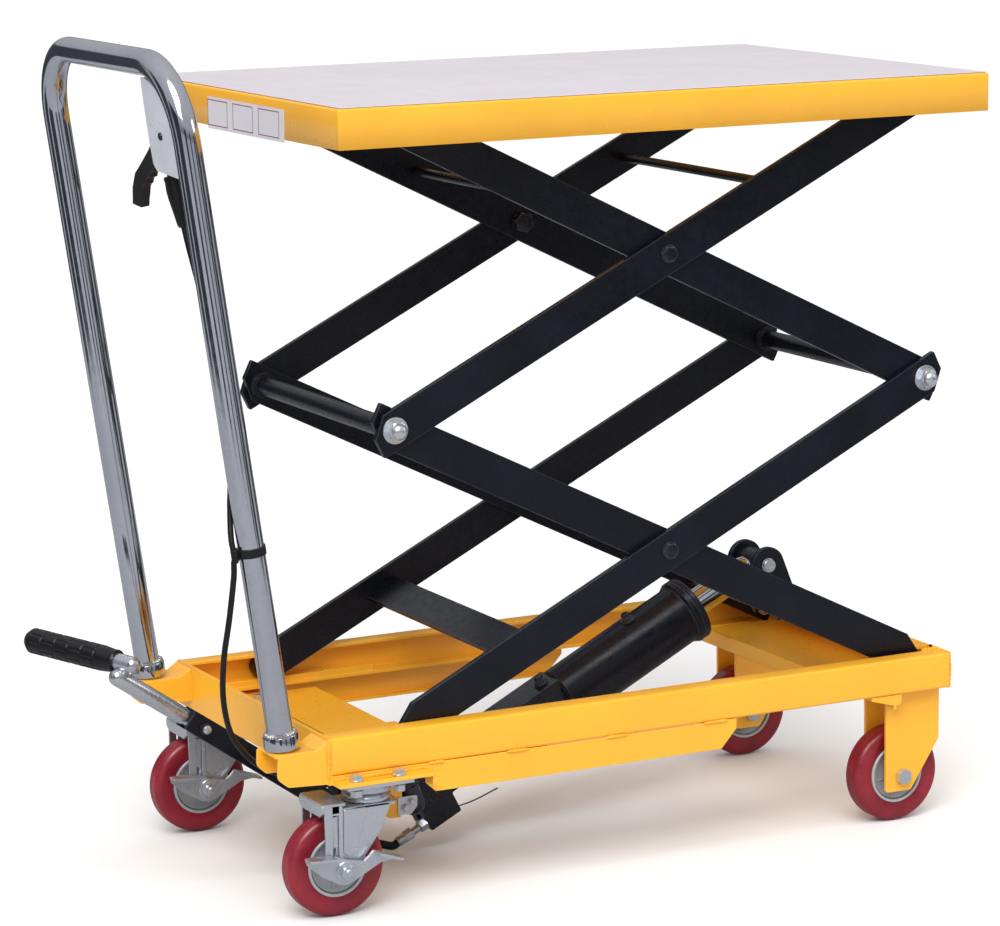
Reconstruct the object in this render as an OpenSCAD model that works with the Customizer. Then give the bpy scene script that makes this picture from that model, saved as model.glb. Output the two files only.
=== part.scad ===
// Mobile double scissor lift table. Millimetres, +Z up, wheels stand on Z = 0.
// +X points to the fixed wheels, -X to the push handle. The table is drawn at working height.

/* [Deck] */
// Length of the deck along X
deck_l = 900; // [890:5:930]
// Width of the deck along Y
deck_w = 600; // [580:5:700]
// Depth of the folded deck edge
deck_h = 49; // [44:1:56]
// Thickness of the deck sheet
deck_t = 2.5; // [2:0.5:3]
// Thickness of the surface sheet on the deck
mat_t = 1.5; // [1:0.5:1.5]

/* [Scissor arms] */
// Width of an arm's flat bar
arm_w = 48; // [44:1:50]
// Thickness of an arm's flat bar
arm_t = 8; // [6:0.5:8]
// Diameter of the end and middle pins
pin_d = 14; // [12:0.5:14]
// Diameter of the centre pins
centre_pin_d = 16; // [14:0.5:18]
// Outside diameter of the two cross tubes at the middle joints
tube_d = 25; // [22:1:28]
// Diameter of the two thin brace rods
brace_d = 12; // [10:1:12]
// Diameter of the four track rollers
roller_d = 29; // [26:0.5:29]

/* [Base frame] */
// Overall width of the base across the rails
base_w = 475; // [473:1:477]
// Thickness of the rail web
rail_t = 5; // [4:0.5:5]
// How far the side skirts hang below the rails
skirt_h = 37; // [25:1:40]
// Right-hand end of the side skirts along X from the deck's middle
skirt_x = 118; // [60:2:180]

/* [Wheels] */
// Wheel diameter
wheel_d = 127; // [120:1:127]
// Tread width
wheel_w = 32; // [28:1:34]
// Radius of the tread's rounded shoulders
wheel_r = 8; // [4:1:10]

/* [Push handle] */
// Diameter of the handle tube
handle_d = 32; // [28:1:33]
// Bend radius of the handle tube's centre line
handle_r = 90; // [60:5:110]

/* [Lift cylinder] */
// Outside diameter of the cylinder tube
cyl_d = 80; // [70:1:84]
// Diameter of the chrome rod
rod_d = 38; // [30:1:45]

/* [Foot pedal] */
// Diameter of the pedal's bar
bar_d = 22; // [18:1:24]
// Diameter of the rubber grip
grip_d = 32; // [28:1:34]

/* [Hidden] */
$fn = 48;

e = 0.05;
// whole model is moved so that its box is centred on the origin
xs = 134.631;
deck_top = 987;
// scissor geometry: centre line angle, half lengths, end pin drop
th = 26.27;
l_mid = 423.8;      // centre pin to middle pin
l_end = 424.26;     // centre pin to end pin, along the arm
drop = 6.1;         // end pins sit this far to the outer side of the centre line
cx0 = 39.3;
z1 = 399.8;
z2 = z1 + 2 * l_mid * sin(th);
zm = z1 + l_mid * sin(th);
mx = l_mid * cos(th);
ex = l_end * cos(th) - drop * sin(th);
ez = l_end * sin(th) + drop * cos(th);
xr = cx0 + ex;      // right-hand end pins
xl = cx0 - ex;      // roller pins
zb = z1 - ez;
zt = z2 + ez;
yo = 207;           // outer face of the outer arms
yi = yo - arm_t - 1;// outer face of the inner arms
yin = yi - arm_t;   // inner face of the inner arms
// rails
hw = base_w / 2;
fl_in = 209.5;      // inner edge of the rail flanges
rail_top = zb + roller_d / 2 + 0.6 + 4;
rail_bot = 179;
track = zb - roller_d / 2 - 0.2;
xa = -446;          // rail ends
xb = 446;
floor_z = 173;
floor_t = 5;
// swivel casters
sx = -391.5;
sy = 213;
trail = 46;
wr = wheel_d / 2;
fx = 381.2;
fy = 191.4;
// handle
hx = -500;
hz = 214;
htx = -614;
htz = 1036;
lean = atan((hx - htx) / (htz - hz));
// lift cylinder
ca = 26.9;
ex0 = 289;
ez0 = 321;
cl = 556;           // pin to pin at rest
px0 = ex0 - cl * cos(ca);
pz0 = ez0 - cl * sin(ca);
// pedal
pv = [-345, -55, 76];
pa = 35;
pl = 372;           // pivot to the end of the bar

C_YEL = [0.96, 0.66, 0.13];
C_BLK = [0.06, 0.07, 0.1];
C_ZN = [0.72, 0.74, 0.78];
C_CHR = [0.85, 0.86, 0.88];
C_RED = [0.5, 0.08, 0.12];
C_GRY = [0.6, 0.61, 0.63];
C_RUB = [0.05, 0.05, 0.06];

// ---------- helpers ----------
module both() { children(); mirror([0, 1, 0]) children(); }
// cylinder along Y from y0 to y1
module ycyl(x, y0, y1, z, r, f = 48) { translate([x, y1, z]) rotate([90, 0, 0]) cylinder(r = r, h = y1 - y0, $fn = f); }
module box(a, b) { translate(a) cube([b[0] - a[0], b[1] - a[1], b[2] - a[2]]); }
// XZ profile between two Y values
module slab(y0, y1) { translate([0, y1, 0]) rotate([90, 0, 0]) linear_extrude(y1 - y0) children(); }
// hexagon along Y
module yhex(x, y0, y1, z, af) { translate([x, y1, z]) rotate([90, 0, 0]) rotate(30) cylinder(r = af / sqrt(3), h = y1 - y0, $fn = 6); }
// hexagon along Z
module zhex(x, y, z0, z1, af) { translate([x, y, z0]) cylinder(r = af / sqrt(3), h = z1 - z0, $fn = 6); }
// straight round bar between two points
module bar(a, b, r, f = 32) {
    d = b - a;
    l = norm(d);
    translate(a) rotate([0, acos(d[2] / l), atan2(d[1], d[0])]) cylinder(r = r, h = l, $fn = f);
}
module ball(p, r) { translate(p) sphere(r = r, $fn = 32); }

// ---------- arms ----------
// flat bar in its own line: end pin at -l_end, middle pin at +l_mid
module arm_shape(centre_r, up = false) {
    h = arm_w / 2;
    difference() {
        // an upper arm's end is cut back so that it clears the deck sheet as it folds
        polygon(concat(up ? [[-l_end - 15, -drop - 4.8], [-l_end - 4, -drop - 13.2], [-l_end + 46, -h]] : [[-l_end - 15, -h]],
            [[l_mid + 5, -h], [l_mid + 27, -h + 22], [l_mid + 27, h], [-l_end + 32, h], [-l_end - 15, -3]]));
        translate([-l_end, -drop]) circle(r = pin_d / 2 + e);
        translate([l_mid, 0]) circle(r = pin_d / 2 + e);
        circle(r = centre_r);
    }
}
module lower_arm(inner, y0) {
    translate([cx0, 0, z1]) mirror([inner ? 1 : 0, 0, 0]) slab(y0, y0 + arm_t) rotate(th) arm_shape(centre_pin_d / 2 + e);
}
module upper_arm(inner, y0) {
    translate([cx0, 0, z2]) mirror([inner ? 1 : 0, 0, 0]) slab(y0, y0 + arm_t) rotate(th + 180) arm_shape(centre_pin_d / 2 + e, true);
}
// button-head pin through both arms, head outside, nut inside
module centre_pin(z) {
    both() {
        ycyl(cx0, -yo, -yin + 2, z, centre_pin_d / 2);
        ycyl(cx0, -yo - 5, -yo, z, 12);
        yhex(cx0, -yin + 2, -yin + 12, z, 24);
    }
}
// middle bolt: through both arms into the cross tube, washer and domed nut outside
module mid_bolt(x, z) {
    both() {
        ycyl(x, -yo - 12, -yin - e, z, pin_d / 2);
        ycyl(x, -yo - 3, -yo - 0.2, z, 16);
        difference() {
            union() {
                yhex(x, -yo - 12, -yo - 3.1, z, 22);
                ycyl(x, -yo - 17, -yo - 11, z, 10);
                translate([x, -yo - 17, z]) rotate([90, 0, 0]) cylinder(r1 = 10, r2 = 5, h = 5);
            }
            ycyl(x, -yo - 12.2, -yo - 2, z, pin_d / 2 + e);
        }
    }
}
module mid_tube(x, z) {
    difference() {
        ycyl(x, -yin + e, yin - e, z, tube_d / 2);
        ycyl(x, -yin - 1, yin + 1, z, tube_d / 2 - 3.5);
    }
    both() difference() {
        ycyl(x, -yin + e, -yin + 8, z, tube_d / 2 + 3.5);
        ycyl(x, -yin - 1, -yin + 9, z, tube_d / 2 - 0.5);
    }
}
// roller pin: from the arm out into the channel
module roller_pin(x, z) {
    ycyl(x, -231, -yo + arm_t, z, pin_d / 2);
    ycyl(x, -yo - 2.6, -yo - 0.1, z, 10.5);
    ycyl(x, -yo + arm_t + 0.1, -yo + arm_t + 0.9, z, 10);
}
module roller(x, z) {
    difference() {
        ycyl(x, -229, -fl_in - 1, z, roller_d / 2);
        ycyl(x, -232, -fl_in, z, pin_d / 2 + e);
        ycyl(x, -230, -228, z, roller_d / 2 - 3.5);
    }
}

// ---------- wheels ----------
module tyre(x, y) {
    translate([x, y, wr]) rotate([90, 0, 0]) rotate_extrude($fn = 96) difference() {
        union() {
            translate([wr - 22, -wheel_w / 2]) square([22 - wheel_r, wheel_w]);
            translate([wr - wheel_r - 1, -wheel_w / 2 + wheel_r]) square([wheel_r + 1, wheel_w - 2 * wheel_r]);
            for (s = [-1, 1]) translate([wr - wheel_r, s * (wheel_w / 2 - wheel_r)]) circle(r = wheel_r, $fn = 32);
        }
        translate([wr - 30, -wheel_w]) square([8, 2 * wheel_w]);
    }
}
// cast hub with a raised rim, a dished web and a centre boss
module hub(x, y, bore) {
    translate([x, y, wr]) rotate([90, 0, 0]) rotate_extrude($fn = 96) union() {
        translate([bore, -wheel_w / 2 - 4]) square([12, wheel_w + 8]);
        translate([bore + 8, -7]) square([wr - 30 - bore, 14]);
        translate([wr - 29, -wheel_w / 2]) square([7 - e, wheel_w]);
    }
}
module ring_of_bolts() {
    for (s = [-1, 1], y0 = [sy - 35.5, sy + 35.5]) translate([sx + s * 28.5, -y0, 0]) {
        translate([0, 0, 160]) cylinder(r = 5, h = floor_z + 7 - 160, $fn = 32);
        translate([0, 0, floor_z + 2]) cylinder(r = 8.3, h = 6, $fn = 6);
        translate([0, 0, floor_z]) difference() { cylinder(r = 9, h = 2, $fn = 32); translate([0, 0, -1]) cylinder(r = 5, h = 4, $fn = 32); }
        translate([0, 0, 153.5]) cylinder(r = 8.3, h = 8, $fn = 6);
    }
}

// ---------- base frame ----------
module rail() {
    union() {
            box([xa, -hw, rail_bot], [xb, -hw + rail_t, rail_top]);
            box([xa, -hw + rail_t, rail_top - 4], [xb - 5.1, -fl_in, rail_top]);
            box([xa, -hw + rail_t, rail_bot], [xb - 5.1, -fl_in, rail_bot + 5]);
            box([xa, -hw + rail_t, rail_bot + 5], [-180, -fl_in - 1.5, track]);
            // wider flange at the fixed pivot
            box([xr + 18, -fl_in, rail_top - 4], [xb - 5.1, -185, rail_top]);
    }
}
module rear_floor_shape() {
    difference() {
        union() {
            box([xa, -259.5, floor_z - floor_t], [-321, 259.5, floor_z]);
            box([-321, -fl_in + 2, floor_z - floor_t], [-267, fl_in - 2, floor_z]);
            // upright cross plate that closes the rail ends
            box([xa - 5, -hw, floor_z - floor_t], [xa, hw, rail_top]);
            // filler walls between the floor and the rail undersides
            both() box([xa, -hw, floor_z], [-321, -hw + 5, rail_bot]);
        }
        for (m = [0, 1]) mirror([0, m, 0]) for (s = [-1, 1], y0 = [sy - 35.5, sy + 35.5])
            translate([sx + s * 28.5, -y0, floor_z - 10]) cylinder(r = 5 + e, h = 20, $fn = 32);
    }
}
module skirt() {
    slab(-hw - 0.0, -hw + 4) polygon([[-320.9, rail_bot], [-320.9, rail_bot - skirt_h + 6], [-314, rail_bot - skirt_h], [skirt_x - 22, rail_bot - skirt_h], [skirt_x, rail_bot - skirt_h + 24], [skirt_x, rail_bot]]);
    // small outward tab at the left end
    box([-320.9, -hw - 19, rail_bot - skirt_h + 8], [-316.9, -hw, rail_bot - 11]);
    // inward stiffening flange
    box([-314, -hw + 4, rail_bot - skirt_h], [skirt_x - 24, -hw + 18, rail_bot - skirt_h + 3]);
}
module front_beam_shape() {
    box([xb - 5, -hw + 5.2, rail_bot - 1], [xb, hw - 5.2, rail_top]);
    box([xb - 42, -184.8, rail_top - 4], [xb - 5, 184.8, rail_top]);
    // shallow tray between the arms, with an upright edge
    box([xb - 160, -186, rail_bot + 5.2], [xb - 5, 186, rail_bot + 9.2]);
    box([xb - 164, -186, rail_bot + 5.2], [xb - 160, 186, rail_bot + 24]);
}
module handle_bracket() {
    difference() {
        union() {
            // outer and inner side plates, tapered towards the tip
            slab(-hw, -hw + 4) polygon([[xa - 5.1, floor_z - 3], [xa - 5.1, rail_top - 2], [-466, hz], [-512, hz], [-521, 205], [-521, 196], [-512, 179]]);
            slab(-193, -189) polygon([[xa - 5.1, floor_z + 8], [xa - 5.1, rail_top - 2], [-466, hz], [-512, hz], [-521, 205], [-521, 196], [-512, 190]]);
            box([-513, -hw + 1, hz - 4], [-465, -190, hz]);
            slab(-hw + 2, -190) polygon([[xa - 5.1, rail_top - 2], [xa - 5.1, rail_top - 6], [-466, hz - 4], [-466, hz]]);
            slab(-hw + 2, -190) polygon([[-512, hz], [-512, hz - 4], [-518, 204], [-518, 196], [-521, 196], [-521, 205]]);
        }
        translate([hx, -sy, hz - 20]) cylinder(r = handle_d / 2 + 1, h = 40);
    }
}
// welded fork of a fixed front wheel
module front_fork() {
    for (y0 = [-fy - 27, -fy + 22]) difference() {
        slab(y0, y0 + 5) polygon([[fx - 25, rail_bot - 0.1], [fx - 25, 47], [fx - 21, 43], [fx + 10, 43], [fx + 17, 48], [fx + 57, 108], [fx + 57, rail_bot - 0.1]]);
        ycyl(fx, y0 - 3, y0 + 8, wr, 6 + e);
    }
    box([fx - 25, -fy - 22.5, rail_bot - 7], [fx + 57, -fy + 22.5, rail_bot - 0.1]);
}
module cylinder_bracket_shape() {
    // one lug under the floor, with a wide hole for the cylinder's base pin
    difference() {
        slab(-7, 7) union() {
            polygon([[-300, floor_z - floor_t - 0.3], [-246, floor_z - floor_t - 0.3], [-186, 78], [-224, 54]]);
            translate([px0, pz0]) circle(r = 22);
        }
        ycyl(px0, -10, 10, pz0, 15.6);
    }
}
module base_pins_shape() {
    both() {
        // fixed scissor pivot inside the rail: pin, spacer and head
        ycyl(xr, -hw + rail_t + 0.1, -yin + 3, zb, pin_d / 2);
        difference() { ycyl(xr, -hw + rail_t + 0.1, -yi - 0.2, zb, 12.5); ycyl(xr, -hw, -yi, zb, pin_d / 2 + e); }
        ycyl(xr, -yin + 0.3, -yin + 3, zb, 11);
        // axle bolt of the fixed wheel
        ycyl(fx, -fy - 33, -fy + 33, wr, 6);
        yhex(fx, -fy - 35, -fy - 27.2, wr, 19);
        yhex(fx, -fy + 27.2, -fy + 36, wr, 19);
    }
}
module caster_plates_shape() {
    both() {
        difference() {
            union() {
                box([sx - 44, -sy - 46, floor_z - floor_t - 4], [sx + 44, -sy + 46, floor_z - floor_t]);
                translate([sx, -sy, 152]) cylinder(r = 31, h = 12.5);
                translate([sx, -sy, 146]) cylinder(r = 9, h = 10);
            }
            for (s = [-1, 1], y0 = [sy - 35.5, sy + 35.5]) translate([sx + s * 28.5, -y0, 150]) cylinder(r = 5 + e, h = 30, $fn = 32);
        }
    }
}
// bent fork of a swivel caster with its bearing cup; the axle bolt is a solid of its own
module swivel_fork(s) {
    difference() {
        union() {
            translate([sx, s * sy, 141]) cylinder(r = 28, h = 10.8);
            box([sx - trail - 26, s * sy - 30, 136], [sx + 30, s * sy + 30, 141]);
            for (y0 = [-30, 26]) slab(s * sy + y0, s * sy + y0 + 4)
                polygon([[sx - trail - 26, 141], [sx - trail - 26, 118], [sx - trail - 15, 50], [sx - trail - 6, 46], [sx - trail + 9, 46], [sx - trail + 18, 54], [sx + 30, 128], [sx + 30, 141]]);
        }
        translate([sx, s * sy, 130]) cylinder(r = 9 + e, h = 30);
        ycyl(sx - trail, s * sy - 40, s * sy + 40, wr, 6 + e);
    }
    ycyl(sx - trail, s * sy - 44, s * sy + 34, wr, 6);
    yhex(sx - trail, s * sy - 48, s * sy - 41, wr, 19);
    yhex(sx - trail, s * sy + 34, s * sy + 40, wr, 19);
}
// double-wing brake lever on the near side of a caster
module brake_lever(s) {
    x = sx - trail;
    y1 = s * sy - 31;
    difference() {
        union() {
            slab(y1 - 5, y1) polygon([[x - 50, wr + 16], [x - 20, wr + 12], [x + 14, wr + 12], [x + 40, wr + 30], [x + 46, wr + 18], [x + 24, wr - 4], [x + 12, wr - 19], [x - 14, wr - 21], [x - 42, wr + 2]]);
            // stamped foot wings
            slab(y1 - 22, y1 - 4) polygon([[x - 52, wr + 20], [x - 50, wr + 16], [x - 22, wr + 12], [x - 22, wr + 16]]);
            slab(y1 - 22, y1 - 4) polygon([[x + 38, wr + 26], [x + 58, wr + 22], [x + 58, wr + 26], [x + 40, wr + 31]]);
        }
        ycyl(x, y1 - 8, y1 + 3, wr, 6 + e);
    }
}

// ---------- handle ----------
module handle_tube_shape() {
    // upright plane leaned by the handle's angle, tube bent in two corners
    translate([hx, 0, hz]) rotate([0, -lean, 0]) {
        l = (htz - hz) / cos(lean);
        both() {
            difference() {
                translate([0, -sy, 0.3]) cylinder(r = handle_d / 2, h = l - handle_r - 0.3);
                translate([0, -sy, -1]) cylinder(r = handle_d / 2 - 2.5, h = 60);
            }
            translate([0, -sy + handle_r, l - handle_r]) rotate([90, 0, -90]) rotate_extrude(angle = 90, $fn = 64) translate([handle_r, 0]) circle(r = handle_d / 2);
        }
        ycyl(0, -sy + handle_r, sy - handle_r, l, handle_d / 2);
    }
}
module handle_collars_shape() {
    both() translate([hx, -sy, hz]) rotate([0, -lean, 0]) difference() {
        translate([0, 0, 3.2]) union() {
            cylinder(r = 21.5, h = 17);
            translate([0, 0, 17]) cylinder(r1 = 21.5, r2 = 17, h = 4);
        }
        translate([0, 0, -10]) cylinder(r = handle_d / 2 + e, h = 60);
    }
}
// pressed plate inside the near bend that carries the hand lever
module lever_housing_shape() {
    translate([hx, 0, hz]) rotate([0, -lean, 0]) {
        l = (htz - hz) / cos(lean);
        for (x0 = [-9, 6]) translate([x0, 0, 0]) rotate([90, 0, 90]) linear_extrude(3) difference() {
            polygon([[-sy + handle_d / 2 + 0.3, l - 128], [-sy + 78, l - 118], [-sy + handle_r + 2, l - handle_d / 2 - 0.3], [-sy + handle_d / 2 + 0.3, l - handle_d / 2 - 0.3]]);
            difference() {
                translate([-sy - 10, l - handle_r]) square([handle_r + 10, handle_r + 10]);
                translate([-sy + handle_r, l - handle_r]) circle(r = handle_r - handle_d / 2 - 0.3, $fn = 64);
            }
            translate([-sy + 62, l - 78]) circle(r = 3 + e, $fn = 32);
        }
        translate([-9, -sy + 62, l - 78]) rotate([0, 90, 0]) cylinder(r = 3, h = 18, $fn = 32);
        box([-9, -sy + handle_d / 2 + 0.3, l - 131], [9, -sy + 50, l - 128]);
    }
}
module hand_lever_shape() {
    translate([hx, 0, hz]) rotate([0, -lean, 0]) {
        l = (htz - hz) / cos(lean);
        translate([-4, -sy + 62, l - 78]) rotate([90, 0, 90]) linear_extrude(8) difference() {
            union() {
                polygon([[-12, 4], [-7, 12], [8, 15], [22, 2], [70, -28], [104, -62], [122, -98], [122, -112], [104, -112], [98, -92], [84, -70], [52, -44], [8, -18], [-8, -11], [-12, -4]]);
            }
            circle(r = 3 + e, $fn = 32);
            for (q = [[48.6, -41.5], [63, -52.9], [76.1, -63.6], [85.8, -75.5]]) translate(q) circle(r = 4, $fn = 24);
        }
    }
}
module release_cable_shape() {
    // rubber boot under the housing, then the sheathed cable down the near leg to the pump
    translate([hx, 0, hz]) rotate([0, -lean, 0]) {
        l = (htz - hz) / cos(lean);
        translate([0, -sy + 33, l - 197]) cylinder(r1 = 7, r2 = 12, h = 65.8, $fn = 32);
    }
    p = [[-590.6, -180, 838], [-597, -195, 780], [-588, -214, 700], [-556, -216, 470], [-552, -211, 440], [-540, -196, 330], [-540, -176, 270], [-532, -170, 215], [-500, -160, 150], [-430, -120, 138], [-346, -70, 138]];
    for (i = [0:len(p) - 2]) { bar(p[i], p[i + 1], 3.5, 16); ball(p[i + 1], 3.8); }
    // clip round the leg
    translate([hx, -sy, hz]) rotate([0, -lean, 0]) translate([0, 0, 262]) difference() {
        cylinder(r = handle_d / 2 + 1.6, h = 12);
        translate([0, 0, -1]) cylinder(r = handle_d / 2 + 0.3, h = 14);
        translate([-40, -3, -1]) cube([24, 6, 14]);
    }
}

// ---------- hydraulics ----------
// along-cylinder frame: origin at the base pin, X along the axis
module along() { translate([px0, 0, pz0]) rotate([0, -ca, 0]) children(); }
module xcyl(a, b, r, f = 64) { translate([a, 0, 0]) rotate([0, 90, 0]) cylinder(r = r, h = b - a, $fn = f); }
module lift_cylinder_shape() {
    along() {
        difference() {
            union() {
                box([-24, -25, -38.4], [24, 25, 38.4]);
                box([22, -25, -10], [86, 25, 36]);
                xcyl(84, 428, cyl_d / 2);
                xcyl(426, 443, cyl_d / 2 + 5);
                // two small ports
                for (a = [205, 352]) translate([a, 0, cyl_d / 2 - 4]) cylinder(r = 8, h = 14, $fn = 32);
            }
            xcyl(88, 444, rod_d / 2 + 8);
            box([-30, -8.3, -45], [38, 8.3, 45]);
            ycyl(0, -30, 30, 0, 6 + e);
        }
        // gland that guides the rod
        difference() { xcyl(430, 446, rod_d / 2 + 7.9); xcyl(429, 447, rod_d / 2 + e); }
        // base pin
        ycyl(0, -27, 27, 0, 6);
    }
}
module lift_rod_shape() {
    along() difference() {
        union() {
            xcyl(150, cl - 8, rod_d / 2);
            xcyl(150, 168, rod_d / 2 + 7.8);
            ycyl(cl, -24, 24, 0, 22);
        }
        ycyl(cl, -26, 26, 0, 10 + e);
    }
}
module hydraulic_hose_shape() {
    along() {
        // hex fitting, ferrule and hose that runs back to the pump
        translate([-24, -16.6, -26]) rotate([0, -90, 0]) cylinder(r = 7.9, h = 12, $fn = 6);
        translate([-36, -16.6, -26]) rotate([0, -90, 0]) cylinder(r = 5.5, h = 20);
        translate([-56, -16.6, -26]) rotate([0, -90, 0]) cylinder(r = 8, h = 18, $fn = 6);
    }
    p = [[-291, -16, 12.5], [-322, -14, 20]];
    a = [px0 - 70 * cos(ca) + 26 * sin(ca), -16.6, pz0 - 70 * sin(ca) - 26 * cos(ca)];
    bar(a, p[0], 5.5);
    translate(p[0]) rotate([0, 0, 90]) sphere(r = 6.5, $fn = 32);
    bar(p[0], p[1], 5.5);
}
// hand-fed pump bolted under the rear floor
module pump_unit_shape() {
    difference() {
        union() {
            box([-372, -26, 108], [-300, 26, floor_z - floor_t - 0.3]);
            translate([-325, 0, 77]) cylinder(r = 19, h = 33);
            // arm that carries the angled cap
            box([-372, -62, 122], [-336, -25, 146]);
            box([-372, -62, 122], [-212, -38, 146]);
            translate([-254, -52, 66]) rotate([0, ca, 0]) { cylinder(r = 16, h = 64); sphere(r = 15.7); }
        }
        translate([-325, 0, 70]) cylinder(r = 9 + e, h = 52);
    }
    // pedal pivot pin and its block
    ycyl(pv[0], -78, -26, pv[2], 7);
    box([pv[0] - 14, -36, pv[2] - 12], [pv[0] + 14, -26, 120]);
}
module pump_plunger_shape() {
    translate([-325, 0, 58.3]) cylinder(r = 9, h = 50);
    translate([-325, 0, 58.3]) cylinder(r = 13, h = 8);
}

// ---------- foot pedal ----------
function onbar(d) = [pv[0] - d * cos(pa), pv[1], pv[2] + d * sin(pa)];
gd = [-0.4657, 0.8822, 0.0694];
g0 = onbar(pl - 4) + [11.2, 0, 16];
module pedal_lever_shape() {
    // channel from the pivot up to the bar
    translate([pv[0], 0, pv[2]]) rotate([0, pa, 0]) {
        difference() {
            union() {
                for (y0 = [pv[1] - 15, pv[1] + 11]) slab(y0, y0 + 4) polygon([[38, -16], [-262, -13], [-262, 13], [20, 13], [38, 0]]);
                box([-262, pv[1] - 15, 9], [20, pv[1] + 15, 13]);
            }
            ycyl(0, pv[1] - 30, pv[1] + 30, 0, 7 + e);
            ycyl(-238, pv[1] - 30, pv[1] + 30, 0, 4);
        }
        ycyl(-238, pv[1] - 15, pv[1] + 15, 0, 4 - e);
        ycyl(-238, pv[1] - 20, pv[1] - 15, 0, 7);
        ycyl(-238, pv[1] + 15, pv[1] + 20, 0, 7);
        // round cam bar that pushes the pump's plunger up
        ycyl(30.2, pv[1] + 11, 8, -8.2, 6);
    }
}
module pedal_bar_shape() {
    difference() {
        union() {
            translate([pv[0], pv[1], pv[2]]) rotate([0, pa, 0]) translate([-pl, 0, 0]) rotate([0, 90, 0]) cylinder(r = min(bar_d / 2, 8.9), h = 160);
            translate([pv[0], pv[1], pv[2]]) rotate([0, pa, 0]) translate([-pl, 0, 0]) rotate([0, 90, 0]) cylinder(r = bar_d / 2, h = 106);
            ball(onbar(pl), bar_d / 2 + 0.4);
            bar(g0 - 26 * gd, g0 + 150 * gd, bar_d / 2);
            ball(g0 - 26 * gd, bar_d / 2 + 0.4);
        }
        translate([pv[0], pv[1], pv[2]]) rotate([0, pa, 0]) ycyl(-238, -30, 30, 0, 4 + e);
    }
}
module pedal_grip_shape() {
    d = gd / norm(gd);
    translate(g0) rotate([0, acos(d[2]), atan2(d[1], d[0])]) difference() {
        union() {
            translate([0, 0, 20]) cylinder(r1 = bar_d / 2 + 2.5, r2 = grip_d / 2, h = 18);
            translate([0, 0, 38]) cylinder(r = grip_d / 2, h = 112);
            translate([0, 0, 150]) cylinder(r1 = grip_d / 2, r2 = grip_d / 2 - 6, h = 7);
        }
        translate([0, 0, -1]) cylinder(r = bar_d / 2 + e, h = 153);
    }
}

// ---------- moving frames of the scissor ----------
module floor_brace_shape() {
    translate([cx0, 0, z1]) slab(-yo + arm_t + 0.1, yo - arm_t - 0.1) rotate(th) translate([-258, -3]) square([50, 6]);
}
module lift_beam_shape() {
    // square cross tube between the inner arms and two ears that hold the rod's pin
    translate([cx0, 0, z1]) slab(-yin + 0.1, yin - 0.1) mirror([1, 0]) rotate(th) translate([-330, -16]) difference() { square([40, 32]); translate([4, 4]) square([32, 24]); }
    both() difference() {
        slab(-33, -25) hull() {
            translate([ex0, ez0]) circle(r = 20, $fn = 32);
            translate([cx0, z1]) mirror([1, 0]) rotate(th) translate([-310, 0]) circle(r = 15, $fn = 32);
        }
        ycyl(ex0, -40, 40, ez0, 10 + e);
        translate([cx0, 0, z1]) slab(-40, 40) mirror([1, 0]) rotate(th) translate([-330, -16]) square([40, 32]);
    }
}
module lower_inner_pins_shape() {
    mid_bolt(cx0 - mx, zm);
    difference() { ycyl(ex0, -38, 38, ez0, 10); }
    both() ycyl(ex0, -38, -33.2, ez0, 13);
}
module lower_outer_pins_shape() {
    centre_pin(z1);
    both() roller_pin(xl, zb);
}
module upper_inner_pins_shape() {
    mid_bolt(cx0 + mx, zm);
    both() translate([0, 2 * 0, 0]) {
        ycyl(xl, -231, -yin, zt, pin_d / 2);
        ycyl(xl, -fl_in + 0.6, -yi - 0.2, zt, 9.5);
        ycyl(xl, -yin + 0.2, -yin + 3, zt, 10);
    }
}
module upper_outer_pins_shape() { centre_pin(z2); }
module upper_inner_brace_shape() { s = 156 / cos(th); x = cx0 - s * cos(th); ycyl(x, -yin + 0.1, yin - 0.1, z2 + s * sin(th), brace_d / 2); }
module upper_outer_brace_shape() { s = 156 / cos(th); x = cx0 + s * cos(th); ycyl(x, -yo + arm_t + 0.1, yo - arm_t - 0.1, z2 + s * sin(th), brace_d / 2); }

// ---------- deck ----------
// box with rounded edges except at the bottom
module soft_box(l, w, z0, z1, r) {
    union() {
        box([-l / 2 + r, -w / 2 + r, z0], [l / 2 - r, w / 2 - r, z1]);
        box([-l / 2, -w / 2 + r, z0], [l / 2, w / 2 - r, z1 - r]);
        box([-l / 2 + r, -w / 2, z0], [l / 2 - r, w / 2, z1 - r]);
        for (sx1 = [-1, 1], sy1 = [-1, 1]) {
            translate([sx1 * (l / 2 - r), sy1 * (w / 2 - r), z0]) cylinder(r = r, h = z1 - r - z0, $fn = 32);
            translate([sx1 * (l / 2 - r), sy1 * (w / 2 - r), z1 - r]) sphere(r = r, $fn = 32);
        }
        for (s = [-1, 1]) {
            translate([-l / 2 + r, s * (w / 2 - r), z1 - r]) rotate([0, 90, 0]) cylinder(r = r, h = l - 2 * r, $fn = 32);
            ycyl(s * (l / 2 - r), -w / 2 + r, w / 2 - r, z1 - r, r, 32);
        }
    }
}
module deck_tray_shape() {
    top = deck_top - mat_t;
    difference() {
        soft_box(deck_l, deck_w, deck_top - deck_h, top, 3);
        box([-deck_l / 2 + deck_t, -deck_w / 2 + deck_t, deck_top - deck_h - 5], [deck_l / 2 - deck_t, deck_w / 2 - deck_t, top - deck_t]);
    }
    // return flanges along the bottom of the folded sides
    both() box([-deck_l / 2 + deck_t, -deck_w / 2 + deck_t, deck_top - deck_h], [deck_l / 2 - deck_t, -deck_w / 2 + 16, deck_top - deck_h + deck_t]);
}
module deck_surface_shape() { box([-deck_l / 2 + 3, -deck_w / 2 + 3, deck_top - mat_t], [deck_l / 2 - 3, deck_w / 2 - 3, deck_top]); }
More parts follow.
